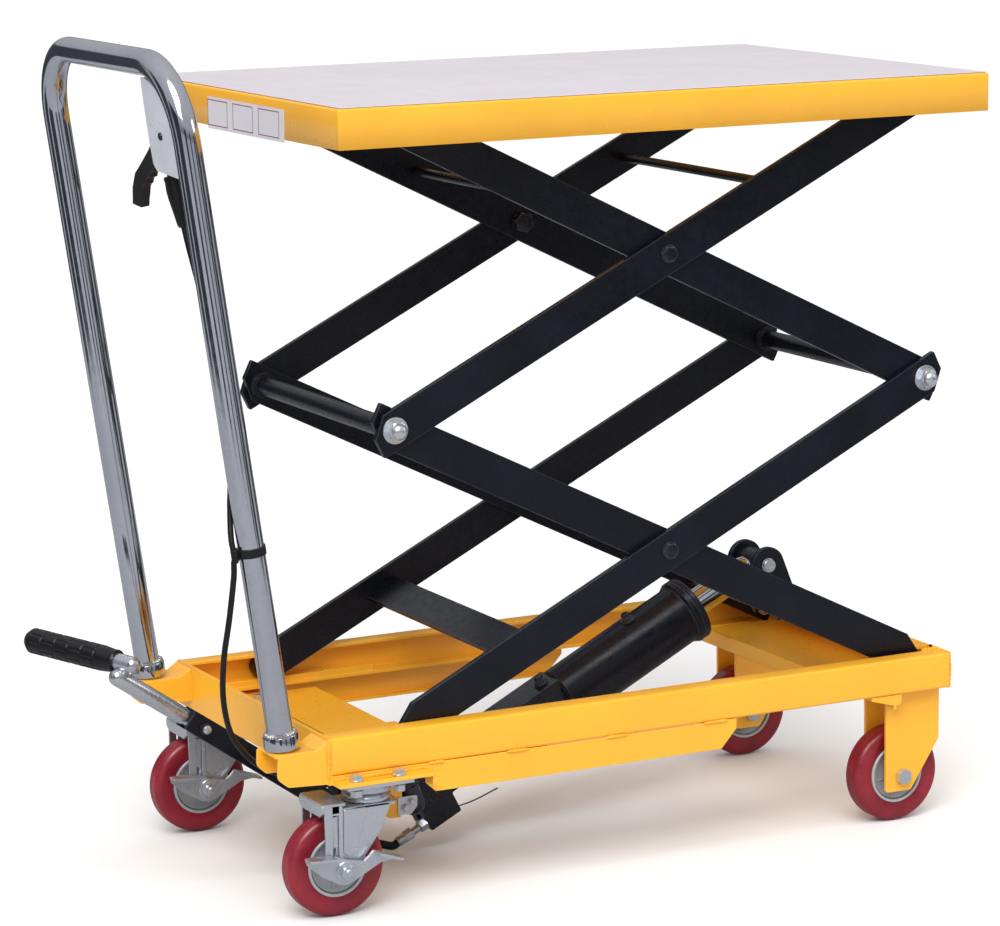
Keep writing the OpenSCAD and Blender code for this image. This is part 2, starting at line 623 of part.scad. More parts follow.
module deck_channels_shape() {
    u = deck_top - mat_t - deck_t;
    lo = zt - roller_d / 2 - 0.6;
    both() difference() {
        union() {
            box([-440, -237.5, lo - 4], [-150, -fl_in, lo]);
            box([-440, -237.5, lo], [-150, -233, u]);
            // pivot lug at the right-hand end
            box([xr - 24, -226, zt - 19], [xr + 24, -220, u]);
            box([xr - 24, -237.5, u - 4], [xr + 24, -226, u]);
        }
        ycyl(xr, -250, -200, zt, pin_d / 2 + e);
    }
}
module deck_pins_shape() {
    both() {
        ycyl(xr, -231, -yo + arm_t - 3, zt, pin_d / 2);
        ycyl(xr, -230, -226.2, zt, 10);
        ycyl(xr, -219.8, -yo - 0.2, zt, 10);
    }
}

// ---------- sub-parts ----------
module at() { translate([xs, 0, 0]) children(); }
module rail_near() { at() color(C_YEL) rail(); }
module rail_far() { at() color(C_YEL) mirror([0, 1, 0]) rail(); }
module rear_floor() { at() color(C_YEL) rear_floor_shape(); }
module rail_skirts() { at() color(C_YEL) both() skirt(); }
module front_beam() { at() color(C_YEL) front_beam_shape(); }
module handle_brackets() { at() color(C_YEL) both() handle_bracket(); }
module front_forks() { at() color(C_YEL) both() front_fork(); }
module cylinder_bracket() { at() color(C_YEL) cylinder_bracket_shape(); }
module handle_tube() { at() color(C_CHR) handle_tube_shape(); }
module handle_collars() { at() color(C_CHR) handle_collars_shape(); }
module lever_housing() { at() color(C_ZN) lever_housing_shape(); }
module release_cable() { at() color(C_RUB) release_cable_shape(); }
module pump_unit() { at() color(C_BLK) pump_unit_shape(); }
module pump_plunger() { at() color(C_ZN) pump_plunger_shape(); }
module caster_plates() { at() color(C_ZN) caster_plates_shape(); }
module caster_bolts() { at() color(C_ZN) both() ring_of_bolts(); }
module base_pins() { at() color(C_ZN) base_pins_shape(); }
module swivel_fork_near() { at() color(C_ZN) swivel_fork(-1); }
module swivel_fork_far() { at() color(C_ZN) swivel_fork(1); }
module brake_lever_near() { at() color(C_ZN) brake_lever(-1); }
module brake_lever_far() { at() color(C_ZN) brake_lever(1); }
module tyre_rear_near() { at() color(C_RED) tyre(sx - trail, -sy); }
module tyre_rear_far() { at() color(C_RED) tyre(sx - trail, sy); }
module tyre_front_near() { at() color(C_RED) tyre(fx, -fy); }
module tyre_front_far() { at() color(C_RED) tyre(fx, fy); }
module hub_rear_near() { at() color(C_GRY) hub(sx - trail, -sy, 6 + e); }
module hub_rear_far() { at() color(C_GRY) hub(sx - trail, sy, 6 + e); }
module hub_front_near() { at() color(C_GRY) hub(fx, -fy, 6 + e); }
module hub_front_far() { at() color(C_GRY) hub(fx, fy, 6 + e); }
module lower_inner_arm_near() { at() color(C_BLK) lower_arm(true, -yi); }
module lower_inner_arm_far() { at() color(C_BLK) lower_arm(true, yin); }
module mid_left_tube() { at() color(C_BLK) mid_tube(cx0 - mx, zm); }
module lift_beam() { at() color(C_BLK) lift_beam_shape(); }
module lower_inner_pins() { at() color(C_ZN) lower_inner_pins_shape(); }
module lower_outer_arm_near() { at() color(C_BLK) lower_arm(false, -yo); }
module lower_outer_arm_far() { at() color(C_BLK) lower_arm(false, yo - arm_t); }
module floor_brace() { at() color(C_BLK) floor_brace_shape(); }
module lower_outer_pins() { at() color(C_BLK) lower_outer_pins_shape(); }
module upper_inner_arm_near() { at() color(C_BLK) upper_arm(true, -yi); }
module upper_inner_arm_far() { at() color(C_BLK) upper_arm(true, yin); }
module mid_right_tube() { at() color(C_BLK) mid_tube(cx0 + mx, zm); }
module upper_inner_brace() { at() color(C_BLK) upper_inner_brace_shape(); }
module upper_inner_pins() { at() color(C_ZN) upper_inner_pins_shape(); }
module upper_outer_arm_near() { at() color(C_BLK) upper_arm(false, -yo); }
module upper_outer_arm_far() { at() color(C_BLK) upper_arm(false, yo - arm_t); }
module upper_outer_brace() { at() color(C_BLK) upper_outer_brace_shape(); }
module upper_outer_pins() { at() color(C_BLK) upper_outer_pins_shape(); }
module lower_rollers() { at() color(C_RUB) both() roller(xl, zb); }
module upper_rollers() { at() color(C_RUB) both() roller(xl, zt); }
module deck_tray() { at() color(C_YEL) deck_tray_shape(); }
module deck_surface() { at() color(C_GRY) deck_surface_shape(); }
module deck_channels() { at() color(C_YEL) deck_channels_shape(); }
module deck_pins() { at() color(C_ZN) deck_pins_shape(); }
module lift_rod() { at() color(C_CHR) lift_rod_shape(); }
module lift_cylinder() { at() color(C_BLK) lift_cylinder_shape(); }
module hydraulic_hose() { at() color(C_RUB) hydraulic_hose_shape(); }
module pedal_lever() { at() color(C_BLK) pedal_lever_shape(); }
module pedal_bar() { at() color(C_CHR) pedal_bar_shape(); }
module pedal_grip() { at() color(C_RUB) pedal_grip_shape(); }
module hand_lever() { at() color(C_BLK) hand_lever_shape(); }

// ---------- build ----------
rail_near();
rail_far();
rear_floor();
rail_skirts();
front_beam();
handle_brackets();
front_forks();
cylinder_bracket();
handle_tube();
handle_collars();
lever_housing();
release_cable();
pump_unit();
pump_plunger();
caster_plates();
caster_bolts();
base_pins();
swivel_fork_near();
swivel_fork_far();
brake_lever_near();
brake_lever_far();
tyre_rear_near();
tyre_rear_far();
tyre_front_near();
tyre_front_far();
hub_rear_near();
hub_rear_far();
hub_front_near();
hub_front_far();
lower_inner_arm_near();
lower_inner_arm_far();
mid_left_tube();
lift_beam();
lower_inner_pins();
lower_outer_arm_near();
lower_outer_arm_far();
floor_brace();
lower_outer_pins();
upper_inner_arm_near();
upper_inner_arm_far();
mid_right_tube();
upper_inner_brace();
upper_inner_pins();
upper_outer_arm_near();
upper_outer_arm_far();
upper_outer_brace();
upper_outer_pins();
lower_rollers();
upper_rollers();
deck_tray();
deck_surface();
deck_channels();
deck_pins();
lift_rod();
lift_cylinder();
hydraulic_hose();
pedal_lever();
pedal_bar();
pedal_grip();
hand_lever();
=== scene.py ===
# Looks of the double scissor lift table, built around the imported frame. Metres, CAD frame.
import math
import bmesh
import bpy
from mathutils import Matrix, Vector, noise


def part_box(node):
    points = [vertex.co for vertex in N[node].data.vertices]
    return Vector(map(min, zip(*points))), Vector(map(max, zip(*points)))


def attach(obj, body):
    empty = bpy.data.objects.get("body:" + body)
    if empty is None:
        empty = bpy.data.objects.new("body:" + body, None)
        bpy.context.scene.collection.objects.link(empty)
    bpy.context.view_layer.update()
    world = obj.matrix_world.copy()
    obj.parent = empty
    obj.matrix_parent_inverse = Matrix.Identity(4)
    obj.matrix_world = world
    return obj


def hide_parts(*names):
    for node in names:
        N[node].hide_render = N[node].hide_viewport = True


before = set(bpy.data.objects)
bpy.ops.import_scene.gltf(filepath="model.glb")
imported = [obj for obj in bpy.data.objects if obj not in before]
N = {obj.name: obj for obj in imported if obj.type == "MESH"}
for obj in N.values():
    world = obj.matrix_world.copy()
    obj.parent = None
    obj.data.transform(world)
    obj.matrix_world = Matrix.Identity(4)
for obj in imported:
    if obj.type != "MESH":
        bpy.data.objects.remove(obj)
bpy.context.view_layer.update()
_lo, _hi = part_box("deck_surface")
DX = (_lo.x + _hi.x) / 2          # deck centre along X
DTOP = _hi.z * 1000


def P(p):
    """deck-centred millimetres to metres in the frame"""
    return Vector((p[0] / 1000 + DX, p[1] / 1000, p[2] / 1000))


# ------------------------------------------------------------------ materials
def make(name, base, rough=0.4, metal=0.0, var=0.12, scale=9.0, rvar=0.12, bump=0.1, bscale=900.0,
         scratch=0.0, edge_highlight_and_wear=None, edge_highlight_and_wear_amt=0.0, coat=0.0, dirt=0.0, dirt_col=(0.05, 0.045, 0.04), spec=0.5, second=None, bdist=0.0004):
    m = bpy.data.materials.new(name)
    m.use_nodes = True
    t = m.node_tree
    n = t.nodes
    L = t.links.new
    b = n["Principled BSDF"]
    tc = n.new("ShaderNodeTexCoord")
    co = tc.outputs["Object"]

    def noise_tex(sc, detail=4.0, rgh=0.55, vec=None, dist=0.0):
        x = n.new("ShaderNodeTexNoise")
        x.inputs["Scale"].default_value = sc
        x.inputs["Detail"].default_value = detail
        x.inputs["Roughness"].default_value = rgh
        x.inputs["Distortion"].default_value = dist
        L(vec or co, x.inputs["Vector"])
        return x.outputs["Fac"]

    def ramp(src, a, b_, lo=0.0, hi=1.0):
        r = n.new("ShaderNodeMapRange")
        r.inputs["From Min"].default_value = a
        r.inputs["From Max"].default_value = b_
        r.inputs["To Min"].default_value = lo
        r.inputs["To Max"].default_value = hi
        r.clamp = True
        L(src, r.inputs["Value"])
        return r.outputs["Result"]

    def mix(fac, a, c):
        x = n.new("ShaderNodeMix")
        x.data_type = "RGBA"
        if isinstance(fac, float):
            x.inputs[0].default_value = fac
        else:
            L(fac, x.inputs[0])
        for i, v in ((6, a), (7, c)):
            if isinstance(v, tuple):
                x.inputs[i].default_value = (v[0], v[1], v[2], 1)
            else:
                L(v, x.inputs[i])
        return x.outputs[2]

    dark = tuple(c * (1 - var) for c in base)
    light = tuple(min(1, c * (1 + var)) for c in base)
    big = noise_tex(scale, 6)
    col = mix(ramp(big, 0.35, 0.65), dark, light)
    if second:
        fleck = noise_tex(scale * 14, 3, 0.7)
        col = mix(ramp(fleck, 0.52, 0.68, 0, second[1]), col, second[0])
    fine = noise_tex(scale * 9, 5, 0.6)
    rgh = ramp(fine, 0.3, 0.7, max(0.03, rough - rvar), min(1, rough + rvar))
    height = noise_tex(bscale, 2, 0.5)
    if scratch:
        mp = n.new("ShaderNodeMapping")
        mp.inputs["Scale"].default_value = (1.0, 1.0, 14.0)
        mp.inputs["Rotation"].default_value = (0.5, 0.9, 0.2)
        L(co, mp.inputs["Vector"])
        sc = noise_tex(45, 8, 0.75, mp.outputs["Vector"], 0.6)
        sm = ramp(sc, 0.66, 0.72, 0, scratch)
        col = mix(sm, col, tuple(min(1, c * 1.6 + 0.05) for c in base))
    if dirt:
        g = n.new("ShaderNodeNewGeometry")
        dn = noise_tex(scale * 2.3, 7, 0.7)
        col = mix(ramp(dn, 0.55, 0.75, 0, dirt), col, dirt_col)
    nrm = n.new("ShaderNodeBump")
    nrm.inputs["Strength"].default_value = bump
    nrm.inputs["Distance"].default_value = bdist
    L(height, nrm.inputs["Height"])
    # lighter colour on every sharp edge (Bevel normal against the face normal): painted highlight along the edges,
    # partly also worn paint
    if edge_highlight_and_wear is not None:
        bv = n.new("ShaderNodeBevel")
        bv.samples = 4
        bv.inputs["Radius"].default_value = 0.0016
        g = n.new("ShaderNodeNewGeometry")
        dp = n.new("ShaderNodeVectorMath")
        dp.operation = "DOT_PRODUCT"
        L(bv.outputs["Normal"], dp.inputs[0])
        L(g.outputs["Normal"], dp.inputs[1])
        edge_highlight_and_wear_mask = ramp(dp.outputs["Value"], 0.985, 0.80, 0, edge_highlight_and_wear_amt)
        col = mix(edge_highlight_and_wear_mask, col, edge_highlight_and_wear)
    L(col, b.inputs["Base Color"])
    L(rgh, b.inputs["Roughness"])
    L(nrm.outputs["Normal"], b.inputs["Normal"])
    b.inputs["Metallic"].default_value = metal
    b.inputs["Specular IOR Level"].default_value = spec
    if coat:
        b.inputs["Coat Weight"].default_value = coat
        b.inputs["Coat Roughness"].default_value = 0.12
    return m


# the edge colours below are painted highlights along sharp edges, partly also worn paint
M = {
    "yellow": make("yellow_enamel", (0.94, 0.455, 0.026), 0.33, 0, 0.04, 7, 0.07, 0.09, 650, scratch=0.06, edge_highlight_and_wear=(1.0, 0.66, 0.16), edge_highlight_and_wear_amt=0.5, coat=0.2, dirt=0.0, dirt_col=(0.55, 0.24, 0.02)),
    "black": make("satin_black_paint", (0.0045, 0.0055, 0.0105), 0.30, 0, 0.25, 11, 0.08, 0.12, 700, scratch=0.03, edge_highlight_and_wear=(0.10, 0.12, 0.16), edge_highlight_and_wear_amt=0.75, spec=0.30),
    "zinc": make("bright_zinc", (0.66, 0.695, 0.745), 0.30, 0.88, 0.04, 12, 0.05, 0.06, 500, edge_highlight_and_wear=(0.80, 0.83, 0.87), edge_highlight_and_wear_amt=0.35),
    "chrome": make("chrome_plate", (0.62, 0.635, 0.69), 0.11, 1.0, 0.05, 8, 0.05, 0.05, 60, scratch=0.08, second=((0.42, 0.43, 0.47), 0.25)),
    "gloss": make("gloss_black_cap", (0.010, 0.012, 0.018), 0.10, 0.3, 0.2, 20, 0.05, 0.10, 300, edge_highlight_and_wear=(0.10, 0.12, 0.16), edge_highlight_and_wear_amt=0.4, coat=0.6),
    "tread": make("maroon_urethane", (0.235, 0.008, 0.020), 0.36, 0, 0.20, 24, 0.12, 0.16, 420, scratch=0.10, dirt=0.16, dirt_col=(0.14, 0.035, 0.04), coat=0.2),
    "hub": make("grey_moulded_hub", (0.46, 0.48, 0.50), 0.45, 0.25, 0.08, 30, 0.10, 0.20, 700, edge_highlight_and_wear=(0.62, 0.64, 0.66), edge_highlight_and_wear_amt=0.4, dirt=0.2, dirt_col=(0.22, 0.22, 0.23)),
    "hub_disc": make("grey_hub_disc", (0.37, 0.39, 0.42), 0.42, 0.35, 0.08, 30, 0.10, 0.20, 700, dirt=0.2, dirt_col=(0.20, 0.20, 0.21)),
    "rubber": make("black_rubber", (0.0045, 0.0045, 0.0055), 0.38, 0, 0.25, 30, 0.10, 0.30, 800, dirt=0.08, dirt_col=(0.03, 0.03, 0.03), spec=0.42),
    "plastic": make("black_lever_plastic", (0.006, 0.006, 0.007), 0.34, 0, 0.2, 20, 0.08, 0.20, 900, edge_highlight_and_wear=(0.08, 0.08, 0.09), edge_highlight_and_wear_amt=0.5, spec=0.4),
    "deck": make("pale_deck_sheet", (0.69, 0.635, 0.685), 0.40, 0, 0.02, 5, 0.05, 0.12, 500, scratch=0.05, dirt=0.03, dirt_col=(0.55, 0.50, 0.53)),
    "steel": make("blackened_steel", (0.016, 0.018, 0.024), 0.26, 0.5, 0.25, 20, 0.08, 0.15, 600, edge_highlight_and_wear=(0.22, 0.25, 0.30), edge_highlight_and_wear_amt=0.6),
    "silver": make("silver_paint", (0.74, 0.77, 0.83), 0.36, 0.35, 0.06, 18, 0.10, 0.2, 600, edge_highlight_and_wear=(0.8, 0.82, 0.85), edge_highlight_and_wear_amt=0.4),
    "silver_tube": make("galvanised_tube", (0.66, 0.68, 0.72), 0.26, 0.95, 0.08, 22, 0.08, 0.12, 420, scratch=0.2, second=((0.45, 0.46, 0.5), 0.3)),
    "label": make("blank_label", (0.66, 0.63, 0.68), 0.35, 0, 0.02, 20, 0.05, 0.05, 500),
    "label_print": make("label_print", (0.26, 0.13, 0.15), 0.4, 0, 0.05, 60, 0.05, 0.05, 500),
    "weld": make("painted_weld", (0.90, 0.42, 0.026), 0.34, 0, 0.08, 40, 0.1, 0.4, 420),
    "weld_zinc": make("bare_weld", (0.42, 0.40, 0.40), 0.36, 0.85, 0.25, 70, 0.12, 0.6, 420),
    "weld_black": make("black_weld", (0.012, 0.013, 0.02), 0.36, 0, 0.25, 40, 0.1, 0.5, 420),
}


def dress(name, mat, bevel=0.7, seg=2):
    """finish on a carried-over CAD node: procedural material and softened edges"""
    o = N[name]
    o.data.materials.clear()
    o.data.materials.append(M[mat])
    at = o.data.attributes.get("custom_normal")
    if at:
        o.data.attributes.remove(at)
    for p in o.data.polygons:
        p.use_smooth = True
        p.material_index = 0
    w = o.modifiers.new("weld", "WELD")
    w.merge_threshold = 0.00002
    if bevel:
        b = o.modifiers.new("bevel", "BEVEL")
        b.width = bevel / 1000
        b.segments = seg
        b.limit_method = "ANGLE"
        b.angle_limit = math.radians(32)
        b.harden_normals = True
        b.use_clamp_overlap = True
        b.miter_outer = "MITER_ARC"
    return o


FINISH = {
    "yellow": ["rail_near", "rail_far", "rear_floor", "rail_skirts", "front_beam", "handle_brackets", "front_forks",
               "cylinder_bracket", "deck_tray", "deck_channels"],
    "deck": ["deck_surface"],
    "black": ["lower_inner_arm_near", "lower_inner_arm_far", "lower_outer_arm_near", "lower_outer_arm_far",
              "upper_inner_arm_near", "upper_inner_arm_far", "upper_outer_arm_near", "upper_outer_arm_far",
              "mid_left_tube", "mid_right_tube", "lift_beam", "floor_brace", "upper_inner_brace", "upper_outer_brace",
              "lower_outer_pins", "upper_outer_pins", "lift_cylinder", "pedal_lever", "pump_unit"],
    "zinc": ["lower_inner_pins", "upper_inner_pins", "caster_plates", "caster_bolts", "base_pins", "swivel_fork_near", "swivel_fork_far",
             "brake_lever_near", "brake_lever_far", "deck_pins", "pump_plunger"],
    "chrome": ["handle_tube", "handle_collars", "lift_rod", "pedal_bar"],
    "tread": ["tyre_rear_near", "tyre_rear_far", "tyre_front_near", "tyre_front_far"],
    "hub": ["hub_rear_near", "hub_rear_far", "hub_front_near", "hub_front_far"],
    "silver": ["lever_housing"],
    "plastic": ["hand_lever"],
    "rubber": ["hydraulic_hose", "release_cable", "pedal_grip", "lower_rollers", "upper_rollers"],
}
NO_BEVEL = {"handle_tube", "pedal_bar", "release_cable", "hydraulic_hose", "deck_tray"}
for _m, _l in FINISH.items():
    for _n in _l:
        dress(_n, _m, 0 if _n in NO_BEVEL else 0.8)

# ------------------------------------------------------------------ mesh tools
class Build:
    """collects closed shells in deck-centred millimetres, then makes one object of them"""

    def __init__(self):
        self.v = []
        self.f = []

    def add(self, verts, faces):
        k = len(self.v)
        self.v += [tuple(q) for q in verts]
        self.f += [tuple(i + k for i in f) for f in faces]

    def prism(self, pts, d0, d1, axis="y", tf=None):
        """closed prism of a 2D outline: axis y takes (x,z), axis z takes (x,y), axis x takes (y,z)"""
        a = sum(pts[i][0] * pts[(i + 1) % len(pts)][1] - pts[(i + 1) % len(pts)][0] * pts[i][1] for i in range(len(pts)))
        if a < 0:
            pts = pts[::-1]
        n = len(pts)
        mk = {"y": lambda p, d: (p[0], d, p[1]), "z": lambda p, d: (p[0], p[1], d), "x": lambda p, d: (d, p[0], p[1])}[axis]
        vs = [mk(p, d0) for p in pts] + [mk(p, d1) for p in pts]
        if tf:
            vs = [tf(q) for q in vs]
        lo = list(range(n))
        hi = [i + n for i in range(n)]
        fs = [tuple(lo), tuple(hi[::-1])] + [(i, i + n, (i + 1) % n + n, (i + 1) % n) for i in range(n)]
        if axis != "y":
            fs = [f[::-1] for f in fs]
        self.add(vs, fs)

    def box(self, a, b, tf=None):
        self.prism([(a[0], a[1]), (b[0], a[1]), (b[0], b[1]), (a[0], b[1])], a[2], b[2], "z", tf)

    def lathe(self, prof, o, ax, seg=64, closed=True):
        """turns (radius, height) points about the axis ax through o"""
        ax = Vector(ax).normalized()
        u = ax.orthogonal().normalized()
        w_ = ax.cross(u)
        o = Vector(o)
        vs = []
        rings = []
        for r, h in prof:
            if r < 1e-6:
                rings.append([len(vs)])
                vs.append(o + ax * h)
            else:
                rings.append(list(range(len(vs), len(vs) + seg)))
                for i in range(seg):
                    t = 2 * math.pi * i / seg
                    vs.append(o + ax * h + u * (r * math.cos(t)) + w_ * (r * math.sin(t)))
        fs = []
        m = len(rings)
        for j in range(m if closed else m - 1):
            a, b = rings[j], rings[(j + 1) % m]
            if len(a) == 1 and len(b) == 1:
                continue
            for i in range(seg):
                i2 = (i + 1) % seg
                if len(a) == 1:
                    fs.append((a[0], b[i2], b[i]))
                elif len(b) == 1:
                    fs.append((a[i], a[i2], b[0]))
                else:
                    fs.append((a[i], a[i2], b[i2], b[i]))
        self.add(vs, fs)

    def sweep(self, pts, r, seg=14, per=8, rf=None, flat=1.0):
        """round bar along a smooth curve through pts; rf(t) scales the radius"""
        q = [Vector(p) for p in pts]
        path = []
        if per > 1 and len(q) > 2:
            for i in range(len(q) - 1):
                p0 = q[i - 1] if i else 2 * q[0] - q[1]
                p1, p2 = q[i], q[i + 1]
                p3 = q[i + 2] if i + 2 < len(q) else 2 * q[-1] - q[-2]
                for k in range(per):
                    t = k / per
                    path.append(0.5 * ((2 * p1) + (p2 - p0) * t + (2 * p0 - 5 * p1 + 4 * p2 - p3) * t * t + (3 * p1 - p0 - 3 * p2 + p3) * t ** 3))
            path.append(q[-1])
        elif per > 1:
            path = [q[0].lerp(q[1], k / per) for k in range(per + 1)]
        else:
            path = q
        n = len(path)
        tan = [(path[min(i + 1, n - 1)] - path[max(i - 1, 0)]).normalized() for i in range(n)]
        u = tan[0].orthogonal().normalized()
        vs = []
        for i in range(n):
            u = (u - tan[i] * u.dot(tan[i])).normalized()
            w_ = tan[i].cross(u)
            rr = r * (rf(i / (n - 1)) if rf else 1)
            for k in range(seg):
                a = 2 * math.pi * k / seg
                vs.append(path[i] + u * (rr * math.cos(a)) + w_ * (rr * flat * math.sin(a)))
        fs = [(i * seg + k, i * seg + (k + 1) % seg, (i + 1) * seg + (k + 1) % seg, (i + 1) * seg + k) for i in range(n - 1) for k in range(seg)]
        fs += [tuple(range(seg))[::-1], tuple(range((n - 1) * seg, n * seg))]
        self.add(vs, fs)

    def bead(self, a, b, r=2.6):
        """weld bead: a rippled bar, half sunk in the corner it fills"""
        a, b = Vector(a), Vector(b)
        n = max(6, int((b - a).length / 1.6))
        d = (b - a).normalized()
        pts = []
        for i in range(n + 1):
            p = a.lerp(b, i / n)
            k = noise.noise_vector(p * 0.11) * (0.5 * r / 2.6)
            pts.append(p + (k - d * k.dot(d)))
        ph = a.x + a.y
        self.sweep(pts, r, 10, 1, lambda t: (1 + 0.15 * math.sin(ph + t * n * 1.55) + 0.12 * math.sin(t * n * 0.37 + ph)) * (0.55 + 0.45 * min(1, 8 * t, 8 * (1 - t))))

    def ring_bead(self, o, ax, r, w_=2.4, seg=90):
        """weld bead round a tube"""
        ax = Vector(ax).normalized()
        u = ax.orthogonal().normalized()
        v_ = ax.cross(u)
        o = Vector(o)
        vs = []
        m = 10
        for i in range(seg):
            a = 2 * math.pi * i / seg
            c = u * math.cos(a) + v_ * math.sin(a)
            s = w_ * (1 + 0.16 * math.sin(i * 1.5) + 0.10 * math.sin(i * 0.41))
            for k in range(m):
                b = 2 * math.pi * k / m
                vs.append(o + c * (r + s * math.cos(b)) + ax * (s * math.sin(b)))
        fs = [(i * m + k, i * m + (k + 1) % m, ((i + 1) % seg) * m + (k + 1) % m, ((i + 1) % seg) * m + k) for i in range(seg) for k in range(m)]
        fs = [f[::-1] for f in fs]
        self.add(vs, fs)

    def hexa(self, o, ax, af, h, cham=1.2, rot=0.0):
        """hexagon head with chamfered corners, from o along ax"""
        ax = Vector(ax).normalized()
        u = ax.orthogonal().normalized()
        w_ = ax.cross(u)
        o = Vector(o)
        R_ = af / math.sqrt(3)
        seg = 48
        prof = [(0, 0), (1, 0), (1, h - cham), (2, h), (0, h)]
        vs = [o]
        for kind, hh in prof[1:4]:
            for i in range(seg):
                a = 2 * math.pi * i / seg + rot
                k = ((a - rot) % (math.pi / 3)) - math.pi / 6
                rr = (af / 2) / math.cos(k)
                if kind == 2:
                    rr = af / 2 * 0.93
                elif hh > 0:
                    hh2 = h - cham * (rr - af / 2) / (R_ - af / 2 + 1e-6) - 0.25
                    vs.append(o + ax * hh2 + u * (rr * math.cos(a)) + w_ * (rr * math.sin(a)))
                    continue
                vs.append(o + ax * hh + u * (rr * math.cos(a)) + w_ * (rr * math.sin(a)))
        vs.append(o + ax * h)
        fs = []
        for i in range(seg):
            j = (i + 1) % seg
            fs.append((0, 1 + j, 1 + i))
            for q in range(2):
                a0 = 1 + q * seg
                fs.append((a0 + i, a0 + j, a0 + seg + j, a0 + seg + i))
            fs.append((1 + 2 * seg + i, 1 + 2 * seg + j, len(vs) - 1))
        self.add(vs, fs)

    def make(self, name, body, mat, slot, bevel=0.0, seg=2, angle=32, replaces=(), sub=0):
        me = bpy.data.meshes.new(name)
        me.from_pydata([P(q) for q in self.v], [], self.f)
        me.validate()
        bm = bmesh.new()
        bm.from_mesh(me)
        bmesh.ops.recalc_face_normals(bm, faces=bm.faces)
        bm.to_mesh(me)
        bm.free()
        for p in me.polygons:
            p.use_smooth = True
        me.set_sharp_from_angle(angle=math.radians(angle))
        o = bpy.data.objects.new(name, me)
        bpy.context.scene.collection.objects.link(o)
        me.materials.append(M[mat])
        if bevel:
            b = o.modifiers.new("bevel", "BEVEL")
            b.width = bevel / 1000
            b.segments = seg
            b.limit_method = "ANGLE"
            b.angle_limit = math.radians(angle)
            b.harden_normals = True
            b.miter_outer = "MITER_ARC"
        if sub:
            s = o.modifiers.new("sub", "SUBSURF")
            s.levels = s.render_levels = sub
        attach(o, body)
        if replaces:
            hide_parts(*replaces)
        return o


def fillet(pts, r, n=5):
    """rounds the corners of a closed outline; r is one radius or one per corner"""
    out = []
    m = len(pts)
    for i in range(m):
        a, b, c = Vector(pts[i - 1]), Vector(pts[i]), Vector(pts[(i + 1) % m])
        rr = r[i] if isinstance(r, (list, tuple)) else r
        d0, d1 = (a - b), (c - b)
        if rr <= 0:
            out.append(tuple(b))
            continue
        ang = d0.angle(d1)
        t = min(rr / math.tan(ang / 2) if ang > 0.02 else 0, 0.48 * d0.length, 0.48 * d1.length)
        p0, p1 = b + d0.normalized() * t, b + d1.normalized() * t
        for k in range(n + 1):
            s = k / n
            out.append(tuple((1 - s) ** 2 * p0 + 2 * s * (1 - s) * b + s * s * p1))
    return out


def bx(node):
    """box of a CAD node in deck-centred millimetres"""
    a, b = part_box(node)
    return [(a.x - DX) * 1000, a.y * 1000, a.z * 1000], [(b.x - DX) * 1000, b.y * 1000, b.z * 1000]


# ------------------------------------------------------------------ scissor arms
TH = math.radians(26.27)
LM, LE, DROP, CX, Z1 = 423.8, 424.26, 6.1, 39.3, 399.8
Z2 = Z1 + 2 * LM * math.sin(TH)
ZM = Z1 + LM * math.sin(TH)
MX = LM * math.cos(TH)
EX = LE * math.cos(TH) - DROP * math.sin(TH)
EZ = LE * math.sin(TH) + DROP * math.cos(TH)
XR, XL, ZB, ZT = CX + EX, CX - EX, Z1 - EZ, Z2 + EZ
H = 24.0


def arm(name, node, body, upper, inner, y0):
    pts = [(LM + 5, -H), (LM + 27, -H + 22), (LM + 27, H), (-LE + 32, H), (-LE - 15, -3)]
    pts = ([(-LE - 15, -DROP - 4.8), (-LE - 4, -DROP - 13.2), (-LE + 46, -H)] if upper else [(-LE - 15, -H)]) + pts
    pts = fillet(pts, 1.6, 2)
    th = TH + (math.pi if upper else 0)
    c, s = math.cos(th), math.sin(th)
    zc = Z2 if upper else Z1

    def place(p):
        x_ = c * p[0] - s * p[1]
        z_ = s * p[0] + c * p[1]
        return (CX + (-x_ if inner else x_), zc + z_)

    b = Build()
    b.prism([place(p) for p in pts], y0, y0 + 8)
    return b.make(name, body, "black", "black_paint", 0.9, 3, replaces=(node,))


for up, tag in ((False, "lower"), (True, "upper")):
    for inn, tag2 in ((True, "inner"), (False, "outer")):
        base_y = 198 if inn else 207
        for near in (True, False):
            s_ = "near" if near else "far"
            arm(f"{tag}_{tag2}_bar_{s_}", f"{tag}_{tag2}_arm_{s_}", f"{tag}_{tag2}_arms", up, inn, -base_y if near else base_y - 8)

# centre pins: dark button heads with a hexagon socket, locked by a hexagon nut inside
for tag, zc in (("lower", Z1), ("upper", Z2)):
    b = Build()
    for s in (-1, 1):
        b.lathe([(0, -8), (7.9, -8), (7.9, 0), (11.5, 0), (11.8, 1.2), (11.4, 2.0), (10.2, 2.5), (0, 2.5)], (CX, s * 207, zc), (0, s, 0), 48)
        b.hexa((CX, s * 188, zc), (0, -s, 0), 24, 10)
        b.lathe([(8, 0), (12.6, 0), (12.6, -1.8), (8, -1.8)], (CX, s * 190, zc), (0, s, 0), 40)
        b.hexa((CX, s * 209.2, zc), (0, s, 0), 17, 3.6, 1.0, 0.2)
        if tag == "lower":
            b.lathe([(0, -8), (7, -8), (7, 23.5), (6, 24), (0, 24)], (XL, s * 207, ZB), (0, s, 0), 40)
            b.lathe([(7, 0.1), (10.5, 0.1), (10.5, 2.5), (7, 2.5)], (XL, s * 207, ZB), (0, s, 0), 40)
    b.make(f"{tag}_centre_pin_heads", f"{tag}_outer_arms", "steel", "black_steel", 0.0, replaces=(f"{tag}_outer_pins",))

